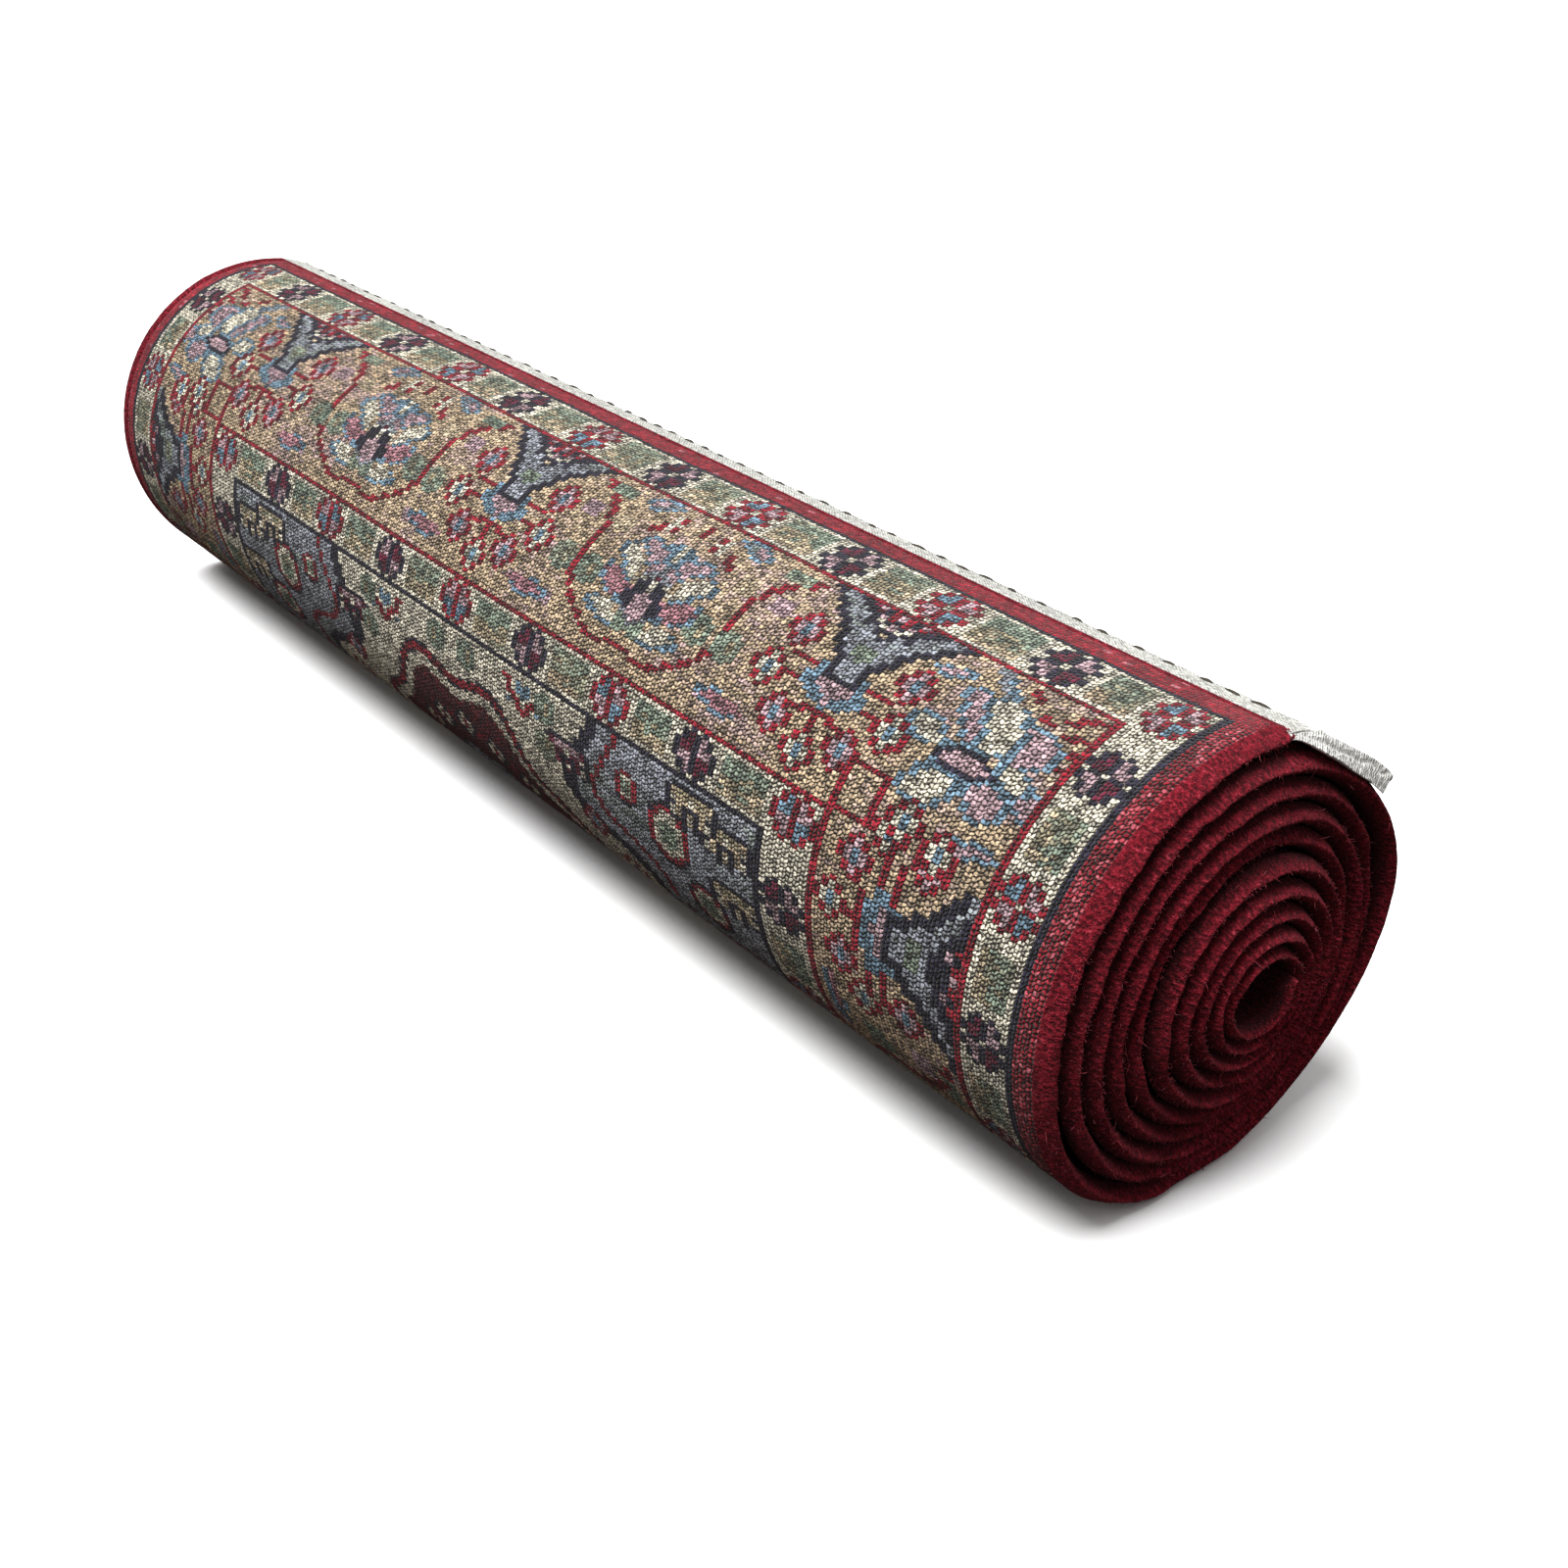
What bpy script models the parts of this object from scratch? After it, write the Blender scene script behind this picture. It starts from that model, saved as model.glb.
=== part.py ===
"""A rolled Persian rug: one wool runner wound up with its back outwards, and the
flat-woven white end that shows past its free edge.

Frame: metres, +Z up. The roll lies along X and rests on z = 0, with the origin under
the middle of its box. A place on the winding is named by turn, the number of turns
from the free end inwards, and by radius from the winding's axis. Angles run from the
top of the roll towards -Y, the way the rug goes in from its free end.
"""
import math

import bmesh
import bpy
import numpy as np

# The rug as it was woven
RUG_WIDTH = 0.792           # across the rug, so along the roll
RUG_THICKNESS = 0.0082      # knotted wool back and pile, pressed by the rolling
KILIM_THICKNESS = 0.0028    # the flat-woven end, turned under once
KILIM_LENGTH = 0.070        # what shows of it past the last row of knots

# The roll
START_RADIUS = 0.0975       # outer skin at the free end
SLACK = 0.0007              # air between one turn and the next
TURN_PITCH = RUG_THICKNESS + SLACK
STATIONS = 48               # steps round one turn
TURNS = 9 + 40 / STATIONS
FREE_END = math.radians(-11.25)

# The loose outer turn hangs a little away from the next one, low on the front, and
# stands away from it high on the back
SAG = 0.0022
SAG_AT = math.radians(150)
SAG_SPREAD = math.radians(36)
BULGE = 0.0040
BULGE_AT = math.radians(-70)
BULGE_SPREAD = math.radians(32)

# The turns round the hollow in the middle are squeezed outwards
HOLLOW_PUSH = 0.0070        # what is in the middle moves out by this much,
HOLLOW_REACH = 0.021        # and by less and less past this radius

# The roll's weight presses a small flat under it
FLAT_DEPTH = 0.0027

# Where the winding's axis passes, and the outer turn's edge at the near end, so that
# the box of the whole roll is centred on the origin
AXIS_Y = 0.0016
NEAR_X = 0.3871

# How far each turn's edge stands out past the outer turn's, turn by turn
STEP_OUT = np.array([0.0, 3.5, 6.0, 8.0, 7.0, 12.5, 14.5, 16.0, 17.5, 18.5, 19.0]) / 1000
FLARE = 0.0068              # high on the back the outer turn's edge stands out too,
FLARE_AT = 0.82             # most of all at this turn,
FLARE_SPREAD = 0.13         # and over this much of a turn to each side
OUTER_LEAN = 0.0025         # the outer turn's edge leans out towards the front,
INNER_LEAN = -0.0015        # and the innermost one's towards the back
WIDTH_LEAN = 0.0060         # the outer turn is a little wider at the front

# The rug's side edge is a rounded, overcast cord with a groove to the next turn
GROOVE_DEPTH = 0.0090
SHOULDER_IN = 0.0012        # the shoulders lie this far back from the crest
SHOULDER_SIDE = 0.0031      # and this far to each side of it
SKIN_EDGE = 0.0035          # the outer skin ends this far back from the crest

END_FACING = 0.3            # faces that look along the roll more than this are edge wool

SKIN_COLUMNS = 4            # steps along the roll on its skins

KILIM_COLUMNS = 28
KILIM_ROWS = 10
CLEARANCE = 0.0003          # between the two pieces
KILIM_MARGIN = 0.0012       # the white end stops this far short of the outer turn's edges
KILIM_LANDS = math.radians(27)      # it has come down to the next turn this far round
KILIM_WAVE = 0.0018         # its cut edge wanders by this much, in a long and a short wave
LONG_WAVE, LONG_START = 9.0, 0.4        # radians along the roll, and where it starts
SHORT_WAVE, SHORT_START = 23.0, 1.7
SHORT_SHARE = 0.6
TIP_LIFT = 0.0036           # its corner at the near end curls up off the roll,
TIP_LENGTH = 0.070          # over this much of its width
TIP_FROM = 0.55             # and from this share of its length on,
TIP_REACH = 0.0040          # and is drawn out past the roll's edge

# Base colours: the patterned back seen as one tone, the red wool edges and the cotton
RUG_BACK = (0.330, 0.215, 0.130, 1.0)
RUG_RED = (0.150, 0.012, 0.022, 1.0)
COTTON_WHITE = (0.610, 0.600, 0.550, 1.0)
WOOL_ROUGHNESS = 0.95
COTTON_ROUGHNESS = 0.90


def angle_of(turn):
    return FREE_END + 2 * np.pi * turn


def wrapped(angle):
    return (angle + np.pi) % (2 * np.pi) - np.pi


def spiral(turn):
    """Radius of the boundary outside this turn, before the flat is pressed in.

    It falls by one pitch a turn, and the outermost turn stands off by its sag and its
    bulge, which fade out by the middle of the next turn.
    """
    turn = np.asarray(turn, float)
    loose = np.clip(1.5 - turn, 0, 1) ** 2
    sag = SAG * np.exp(-(wrapped(angle_of(turn) - SAG_AT) / SAG_SPREAD) ** 2)
    bulge = BULGE * np.exp(-(wrapped(angle_of(turn) - BULGE_AT) / BULGE_SPREAD) ** 2)
    return START_RADIUS - TURN_PITCH * turn + loose * (sag + bulge)


# The outer skin is cut this far below the axis, at its foot, so that is the axis's height
AXIS_Z = float(spiral((math.pi - FREE_END) / (2 * math.pi))) - FLAT_DEPTH


def place(turn, radius, x):
    """World points at these radii, with the flat pressed in at the foot of the roll.

    Below the floor plane the outer skin is scaled in to lie on it, and what is nearer
    the axis is scaled by the square of its share of the radius, so it moves less. Near
    the axis the radius grows, by less the larger it is, which opens the hollow.
    """
    angle = angle_of(np.asarray(turn, float))
    skin = spiral(np.mod(turn, 1.0))
    down = -np.cos(angle)
    over = 1 - AXIS_Z / np.maximum(skin * down, AXIS_Z)
    radius = radius * (1 - over * (radius / skin) ** 2)
    radius = radius + HOLLOW_PUSH * np.exp(-(radius / HOLLOW_REACH) ** 2)
    y = AXIS_Y - radius * np.sin(angle)
    z = AXIS_Z + radius * np.cos(angle)
    z = np.where(np.abs(z) < 1e-5, 0.0, z)
    return np.stack(np.broadcast_arrays(x, y, z), axis=-1)


def outwardness(turn):
    """1 at the free end, falling to 0 at the innermost turn."""
    return 1 - turn / TURNS


def near_edge(turn):
    """x of the crest of the rug's edge at the near end."""
    stand = np.interp(turn, np.arange(len(STEP_OUT)), STEP_OUT)
    stand = stand + FLARE * np.exp(-((turn - FLARE_AT) / FLARE_SPREAD) ** 2)
    lean = INNER_LEAN + (OUTER_LEAN - INNER_LEAN) * outwardness(turn)
    return NEAR_X + stand + lean * np.sin(angle_of(turn))


def far_edge(turn):
    """x of the crest at the far end: the rug is one width, so it steps in there."""
    wider = WIDTH_LEAN * outwardness(turn) * np.sin(angle_of(turn))
    return near_edge(turn) - RUG_WIDTH - wider


def groove_floor(turn, edge, sign):
    """x of the bottom of the groove outside this turn, below the lower of its banks."""
    outer, inner = edge(turn - 1), edge(turn)
    lower = np.minimum(sign * outer, sign * inner) * sign
    return lower - sign * GROOVE_DEPTH


def end_profile(turn, edge, sign):
    """Five points across one turn's edge, from its outer side to its inner side."""
    crest = edge(turn)
    outer_side, inner_side = spiral(turn), spiral(turn + 1)
    middle = inner_side + (outer_side - inner_side) / 2
    if turn < 1:
        middle = outer_side - RUG_THICKNESS / 2
    first_x = crest - sign * SKIN_EDGE if turn < 1 else groove_floor(turn, edge, sign)
    last_x = crest - sign * SKIN_EDGE if turn > TURNS - 1 else groove_floor(turn + 1, edge, sign)
    shoulder = crest - sign * SHOULDER_IN
    radii = np.array([outer_side, middle + SHOULDER_SIDE, middle, middle - SHOULDER_SIDE, inner_side])
    xs = np.array([first_x, shoulder, crest, shoulder, last_x])
    return place(turn, radii, xs)


def new_object(name, mesh, collection):
    obj = bpy.data.objects.new(name, mesh)
    collection.objects.link(obj)
    return obj


def cloth(name, colour, roughness):
    material = bpy.data.materials.new(name)
    material.use_nodes = True
    shader = material.node_tree.nodes["Principled BSDF"]
    shader.inputs["Base Color"].default_value = colour
    shader.inputs["Roughness"].default_value = roughness
    shader.inputs["Metallic"].default_value = 0.0
    return material


def merged_mesh(name, points, quads):
    """A mesh of these quads, with points that coincide joined and faces turned out."""
    mesh = bpy.data.meshes.new(name)
    mesh.from_pydata(points.tolist(), [], quads)
    bm = bmesh.new()
    bm.from_mesh(mesh)
    bmesh.ops.remove_doubles(bm, verts=bm.verts, dist=2e-6)
    bmesh.ops.triangulate(bm, faces=bm.faces)
    bmesh.ops.recalc_face_normals(bm, faces=bm.faces)
    bm.to_mesh(mesh)
    bm.free()
    mesh.shade_smooth()
    mesh.set_sharp_from_angle(angle=math.radians(40))
    return mesh


def grid_quads(offset, rows, columns):
    """Quads over a grid of rows by columns points, which starts at this offset."""
    return [
        (offset + r * columns + c, offset + r * columns + c + 1,
         offset + (r + 1) * columns + c + 1, offset + (r + 1) * columns + c)
        for r in range(rows - 1) for c in range(columns - 1)
    ]


def rug_roll(collection):
    """The wound rug: a spiral loft of its edge at both ends, closed by its skins.

    Neighbouring turns share the line at the bottom of the groove between them, so the
    winding is one closed body. No modelling tool makes such a thread on a flat face.
    """
    turns = np.arange(round(TURNS * STATIONS) + 1) / STATIONS
    points, quads = [], []

    def add(grid):
        offset = sum(len(p) for p in points)
        rows, columns = grid.shape[:2]
        points.append(grid.reshape(-1, 3))
        quads.extend(grid_quads(offset, rows, columns))

    near = np.array([end_profile(t, near_edge, 1) for t in turns])
    far = np.array([end_profile(t, far_edge, -1) for t in turns])
    add(near)
    add(far)

    def across(start, end):
        """Rows of points from the near end's line to the far end's, evenly spaced."""
        share = np.linspace(0, 1, SKIN_COLUMNS + 1)[None, :, None]
        return start[:, None, :] * (1 - share) + end[:, None, :] * share

    outer_near = np.concatenate([near[:STATIONS, 0], near[:1, 4]])
    outer_far = np.concatenate([far[:STATIONS, 0], far[:1, 4]])
    add(across(outer_near, outer_far))
    hole_near = np.concatenate([near[-1:, 0], near[-STATIONS:, 4]])
    hole_far = np.concatenate([far[-1:, 0], far[-STATIONS:, 4]])
    add(across(hole_near, hole_far))
    add(across(near[0], far[0]))
    add(across(near[-1], far[-1]))

    mesh = merged_mesh("rug_roll", np.concatenate(points), quads)
    mesh.materials.append(cloth("rug_back", RUG_BACK, WOOL_ROUGHNESS))
    mesh.materials.append(cloth("rug_edge", RUG_RED, WOOL_ROUGHNESS))
    for face in mesh.polygons:
        face.material_index = 1 if abs(face.normal.x) > END_FACING else 0
    return new_object("rug_roll", mesh, collection)


def kilim_end(collection):
    """The white flat-woven end, a sheet that steps down onto the turn below it.

    It leaves the last row of knots level with the rug's back, comes down along a smooth
    S to the next turn's back, lies along it, and curls up at its near corner.
    """
    along = np.linspace(0, 1, KILIM_COLUMNS + 1)[None, :]
    out = np.linspace(0, 1, KILIM_ROWS + 1)[:, None]
    x = (far_edge(0.0) + KILIM_MARGIN) * (1 - along) + (near_edge(0.0) - KILIM_MARGIN) * along
    wave = np.sin(LONG_WAVE * along + LONG_START)
    wave = wave + SHORT_SHARE * np.sin(SHORT_WAVE * along + SHORT_START)
    length = KILIM_LENGTH + KILIM_WAVE * wave
    root = CLEARANCE / START_RADIUS
    back = root + out * length / START_RADIUS
    below = spiral(1 - back / (2 * np.pi)) + CLEARANCE
    above = START_RADIUS - KILIM_THICKNESS
    drop = np.clip(back / KILIM_LANDS, 0, 1)
    drop = drop ** 2 * (3 - 2 * drop)
    from_near = (near_edge(0.0) - KILIM_MARGIN - x) / TIP_LENGTH
    curl = TIP_LIFT * np.exp(-from_near ** 2) * np.clip((out - TIP_FROM) / (1 - TIP_FROM), 0, 1) ** 1.5
    radius = above * (1 - drop) + below * drop + curl
    angle = FREE_END - back
    x = x + TIP_REACH * np.exp(-from_near ** 2) * out ** 2
    grid = np.stack(np.broadcast_arrays(
        x, AXIS_Y - radius * np.sin(angle), AXIS_Z + radius * np.cos(angle)), axis=-1)

    mesh = bpy.data.meshes.new("kilim_end")
    quads = grid_quads(0, KILIM_ROWS + 1, KILIM_COLUMNS + 1)
    mesh.from_pydata(grid.reshape(-1, 3).tolist(), [], quads)
    mesh.shade_smooth()
    mesh.materials.append(cloth("kilim_cotton", COTTON_WHITE, COTTON_ROUGHNESS))
    obj = new_object("kilim_end", mesh, collection)
    solidify = obj.modifiers.new("cloth", "SOLIDIFY")
    solidify.thickness = KILIM_THICKNESS
    solidify.offset = 1.0
    return obj


def main():
    for obj in list(bpy.data.objects):
        bpy.data.objects.remove(obj)
    collection = bpy.data.collections.new("rolled_persian_rug")
    bpy.context.scene.collection.children.link(collection)
    rug_roll(collection)
    kilim_end(collection)


main()
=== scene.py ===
# %% [markdown]
# # A rolled Persian runner
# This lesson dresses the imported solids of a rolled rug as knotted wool. The rug is wound
# with its back outwards, so what shows is the back of the knots, each two small slanting
# beads of wool in one colour, the thick red wool of its side edges wound into a spiral,
# and the flat-woven white end of the rug, which lies loose along the top.
# Every length is in metres, in the frame of the solids.

# %% The frame
import math

import bpy
import mathutils
import numpy as np
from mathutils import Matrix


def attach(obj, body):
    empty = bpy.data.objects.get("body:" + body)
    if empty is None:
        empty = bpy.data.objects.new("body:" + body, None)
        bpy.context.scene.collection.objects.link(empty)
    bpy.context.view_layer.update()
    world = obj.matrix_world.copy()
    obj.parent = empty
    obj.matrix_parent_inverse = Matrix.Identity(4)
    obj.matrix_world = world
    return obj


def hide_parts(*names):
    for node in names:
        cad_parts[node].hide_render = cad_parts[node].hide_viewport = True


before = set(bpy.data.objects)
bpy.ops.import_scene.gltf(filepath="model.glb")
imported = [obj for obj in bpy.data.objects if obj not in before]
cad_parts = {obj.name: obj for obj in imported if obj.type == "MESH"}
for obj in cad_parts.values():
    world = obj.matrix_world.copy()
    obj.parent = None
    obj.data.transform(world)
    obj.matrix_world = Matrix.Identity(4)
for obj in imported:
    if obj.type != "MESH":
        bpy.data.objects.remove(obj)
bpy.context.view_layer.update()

# %% [markdown]
# ## How the rug is wound
# A wound cloth is a spiral: with each turn the radius falls by the cloth's thickness and
# a little air. A place on the rug is named by its turn, counted from the free end, and
# by how far it lies from the winding's axis. These are the solids' own sizes, so that
# the cloth falls exactly where they are. The roll's weight presses a small flat under
# it, and the outer turn sags a little at the lower front.

# %% The spiral
RUG_WIDTH = 0.792
RUG_THICKNESS = 0.0082
TURN_PITCH = 0.0089
START_RADIUS = 0.0975
TURNS = 9 + 40 / 48
FREE_END = math.radians(-11.25)
SAG, SAG_AT, SAG_SPREAD = 0.0022, math.radians(150), math.radians(36)
BULGE, BULGE_AT, BULGE_SPREAD = 0.0040, math.radians(-70), math.radians(32)
HOLLOW_PUSH, HOLLOW_REACH = 0.0070, 0.021
FLAT_DEPTH = 0.0027
AXIS_Y = 0.0016
NEAR_X = 0.3871
STEP_OUT = np.array([0.0, 3.5, 6.0, 8.0, 7.0, 12.5, 14.5, 16.0, 17.5, 18.5, 19.0]) / 1000
FLARE, FLARE_AT, FLARE_SPREAD = 0.0068, 0.82, 0.13
OUTER_LEAN, INNER_LEAN, WIDTH_LEAN = 0.0025, -0.0015, 0.0060


def angle_of(turn):
    """The angle from the top of the roll towards -Y, a full circle for each turn."""
    return FREE_END + 2 * np.pi * turn


def bell(angle, centre, spread):
    """A bell curve of the angle's distance from a centre, the short way round."""
    aside = (angle - centre + np.pi) % (2 * np.pi) - np.pi
    return np.exp(-(aside / spread) ** 2)


def spiral(turn):
    """The radius of the rug's back: the first radius less a pitch for each turn. The
    loose outer turn sags in one place and bulges in another, and both fade by the
    middle of the next turn."""
    turn = np.asarray(turn, float)
    loose = np.clip(1.5 - turn, 0, 1) ** 2
    stands_off = SAG * bell(angle_of(turn), SAG_AT, SAG_SPREAD)
    stands_off = stands_off + BULGE * bell(angle_of(turn), BULGE_AT, BULGE_SPREAD)
    return START_RADIUS - TURN_PITCH * turn + loose * stands_off


AXIS_Z = float(spiral((math.pi - FREE_END) / (2 * math.pi))) - FLAT_DEPTH


def hollowed(radius):
    """A radius grown by a bell curve round the hollow in the middle."""
    return radius + HOLLOW_PUSH * np.exp(-(radius / HOLLOW_REACH) ** 2)


def outwards(angle):
    """The unit vector that points straight out from the axis at this angle."""
    return np.stack([0 * angle, -np.sin(angle), np.cos(angle)], axis=-1)


def round_axis(x, angle, radius):
    """Points at an x, an angle and a radius: y = -r sin a and z = r cos a from the axis."""
    y, z = AXIS_Y - radius * np.sin(angle), AXIS_Z + radius * np.cos(angle)
    return np.stack(np.broadcast_arrays(x, y, z), axis=-1)


def place(turn, radius, x):
    """Points at a turn, a radius and an x: the circle about the axis, with what would
    reach below the floor scaled in to lie on it, and less so nearer the axis."""
    angle = angle_of(np.asarray(turn, float))
    skin = spiral(np.mod(turn, 1.0))
    over = 1 - AXIS_Z / np.maximum(-skin * np.cos(angle), AXIS_Z)
    return round_axis(x, angle, hollowed(radius * (1 - over * (radius / skin) ** 2)))


def near_edge(turn):
    """x of the rug's edge at the near end: each turn stands a step out of the last, and
    the outer one also flares high on the back."""
    stand = np.interp(turn, np.arange(11), STEP_OUT)
    stand = stand + FLARE * np.exp(-((turn - FLARE_AT) / FLARE_SPREAD) ** 2)
    lean = INNER_LEAN + (OUTER_LEAN - INNER_LEAN) * (1 - turn / TURNS)
    return NEAR_X + stand + lean * np.sin(angle_of(turn))


def far_edge(turn):
    """x of the edge at the far end, one rug's width away."""
    wider = WIDTH_LEAN * (1 - turn / TURNS) * np.sin(angle_of(turn))
    return near_edge(turn) - RUG_WIDTH - wider


def travelled(thickness_in):
    """A fine table of turns, and the length of cloth wound up to each of them, measured
    this far inside its back: the sum of radius times angle."""
    turn = np.linspace(0, TURNS, 20001)
    radius = hollowed(spiral(turn) - thickness_in)
    steps = (radius[1:] + radius[:-1]) / 2 * np.diff(turn) * 2 * np.pi
    return turn, np.concatenate([[0], np.cumsum(steps)])


RUG_LENGTH = float(travelled(RUG_THICKNESS / 2)[1][-1])
print("axis at height %.4f, rug %.3f wide and %.3f long" % (AXIS_Z, RUG_WIDTH, RUG_LENGTH))

# %% [markdown]
# ## Shader helpers
# A material is a small graph. These helpers add a node, set what is a plain number and
# link what is another node's output, so that a graph reads like a formula.

# %% Nodes


def add_node(tree, kind, *inputs, **settings):
    """Add a shader node, set or link its inputs in order, and return its first output."""
    made = tree.nodes.new("ShaderNode" + kind)
    for name, value in settings.items():
        setattr(made, name, value)
    for socket, value in zip(made.inputs, inputs):
        if isinstance(value, bpy.types.NodeSocket):
            tree.links.new(value, socket)
        elif value is not None:
            socket.default_value = value
    return made.outputs[0]


def sum_up(tree, operation, *inputs):
    """One step of arithmetic."""
    return add_node(tree, "Math", *inputs, operation=operation)


def ramp(tree, value, low, high, to_low=0.0, to_high=1.0):
    """The value carried from low..high to to_low..to_high along a smooth S, and held
    there beyond."""
    return add_node(tree, "MapRange", value, low, high, to_low, to_high,
                    interpolation_type="SMOOTHSTEP")


def noise(tree, vector, scale, detail=2.0):
    """Soft noise of 0 to 1 about this many times a metre, or a unit of the vector."""
    return add_node(tree, "TexNoise", vector, None, scale, detail)


def mixed(tree, share, first, second, blend="MIX"):
    """Two colours mixed by a share."""
    made = tree.nodes.new("ShaderNodeMix")
    made.data_type, made.blend_type = "RGBA", blend
    for name, value in (("Factor_Float", share), ("A_Color", first), ("B_Color", second)):
        socket = next(s for s in made.inputs if s.identifier == name)
        if isinstance(value, bpy.types.NodeSocket):
            tree.links.new(value, socket)
        else:
            socket.default_value = value
    return next(s for s in made.outputs if s.identifier == "Result_Color")


def new_group(name, inputs, outputs):
    """An empty node group with named sockets, and its input and output nodes."""
    group = bpy.data.node_groups.new(name, "ShaderNodeTree")
    for direction, sockets in (("INPUT", inputs), ("OUTPUT", outputs)):
        for socket, kind in sockets.items():
            group.interface.new_socket(socket, in_out=direction, socket_type="NodeSocket" + kind)
    return group, group.nodes.new("NodeGroupInput"), group.nodes.new("NodeGroupOutput")


def use_group(tree, group, **values):
    """Place a group in a tree, with inputs set or linked by name, and return it."""
    made = tree.nodes.new("ShaderNodeGroup")
    made.node_tree = group
    for name, value in values.items():
        if isinstance(value, bpy.types.NodeSocket):
            tree.links.new(value, made.inputs[name])
        else:
            made.inputs[name].default_value = value
    return made


def new_material(name, roughness, sheen=0.0, sheen_tint=(1, 1, 1, 1)):
    """A material whose shader has its plain numbers set: everything here is matt."""
    material = bpy.data.materials.new(name)
    material.use_nodes = True
    shader = material.node_tree.nodes["Principled BSDF"]
    shader.inputs["Roughness"].default_value = roughness
    shader.inputs["Specular IOR Level"].default_value = 0.25
    shader.inputs["Sheen Weight"].default_value = sheen
    shader.inputs["Sheen Roughness"].default_value = 0.45
    shader.inputs["Sheen Tint"].default_value = sheen_tint
    return material, material.node_tree, shader


def multiplied(tree, colour, value):
    """A colour times a plain value."""
    grey = add_node(tree, "CombineColor", value, value, value)
    return mixed(tree, 1.0, colour, grey, blend="MULTIPLY")


def finished(tree, shader, colour, height, distance):
    """Feed the shader its colour, and as its Normal a height in shares of a distance."""
    tree.links.new(colour, shader.inputs["Base Color"])
    bump = tree.nodes.new("ShaderNodeBump")
    bump.inputs["Strength"].default_value = 1.0
    bump.inputs["Distance"].default_value = distance
    tree.links.new(height, bump.inputs["Height"])
    tree.links.new(bump.outputs["Normal"], shader.inputs["Normal"])


# %% [markdown]
# ## The camera, the light and the floor
# The camera stands where the photographer stood: in front of the near end, looking down
# on the roll at about thirty degrees. A wide, soft sun stands nearly overhead, a little
# to the front and to the far end, so that the back is bright above and dark below, and
# the near end is in shade. The paper would throw light up at the roll, so it is hidden
# from the light that bounces, and the sky is dark below the horizon.

# %% Camera
CAMERA_AT = (0.7406, -0.4895, 0.5005)
YAW, PITCH, ROLL = math.radians(141.3), math.radians(29.5), math.radians(0.69)
LENS, SENSOR = 44.65, 36.0


def add_camera():
    """A camera looks along its own -Z, so it is turned up from straight down by a right
    angle less the pitch, then round to the yaw, and last about its own view."""
    turn = mathutils.Matrix.Rotation(YAW - math.pi / 2, 3, "Z")
    turn = turn @ mathutils.Matrix.Rotation(math.pi / 2 - PITCH, 3, "X")
    turn = turn @ mathutils.Matrix.Rotation(ROLL, 3, "Z")
    data = bpy.data.cameras.new("camera")
    data.lens, data.sensor_width = LENS, SENSOR
    camera = bpy.data.objects.new("camera", data)
    bpy.context.scene.collection.objects.link(camera)
    camera.matrix_world = mathutils.Matrix.Translation(CAMERA_AT) @ turn.to_4x4()
    bpy.context.scene.camera = camera


add_camera()

# %% Light and floor
SUN_FROM, SUN_WIDE, SUN_STRENGTH = (-0.07, -0.32, 1.0), math.radians(38), 3.75
SKY_FROM, SKY_TO, SKY_DARKEST, SKY_STRENGTH = -0.15, 0.6, 0.06, 0.39
LOW_SKY, HIGH_SKY, HIGH_FROM = (1.0, 0.80, 0.70, 1), (1, 1, 1, 1), 0.45
FLOOR_REACH, FLOOR_TONE = 14.0, 1.50
PAINTED_SHADOW_REACH, PAINTED_SHADOW_FULL, PAINTED_SHADOW_SAMPLES = 0.09, 0.45, 16


def add_sun():
    """A sun that shines from this direction; the wider it is, the softer its shadows."""
    data = bpy.data.lights.new("sun", "SUN")
    data.energy, data.angle = SUN_STRENGTH, SUN_WIDE
    light = bpy.data.objects.new("sun", data)
    bpy.context.scene.collection.objects.link(light)
    light.matrix_world = mathutils.Vector(SUN_FROM).to_track_quat("Z", "Y").to_matrix().to_4x4()


def add_world():
    """A sky whose light rises along a smooth S from the horizon to overhead, and whose
    colour goes from warm to white on the way."""
    world = bpy.data.worlds.new("studio")
    world.use_nodes = True
    tree, sky = world.node_tree, world.node_tree.nodes["Background"]
    direction = tree.nodes.new("ShaderNodeTexCoord").outputs["Generated"]
    height = add_node(tree, "SeparateXYZ", direction).node.outputs["Z"]
    tree.links.new(ramp(tree, height, SKY_FROM, SKY_TO, SKY_DARKEST, SKY_STRENGTH), sky.inputs["Strength"])
    tint = tree.nodes.new("ShaderNodeValToRGB")
    tint.color_ramp.elements[0].color, tint.color_ramp.elements[1].color = LOW_SKY, HIGH_SKY
    tint.color_ramp.elements[1].position = HIGH_FROM
    tree.links.new(height, tint.inputs["Fac"])
    tree.links.new(tint.outputs["Color"], sky.inputs["Color"])
    bpy.context.scene.world = world
    bpy.context.scene.view_settings.view_transform = "Standard"


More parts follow.
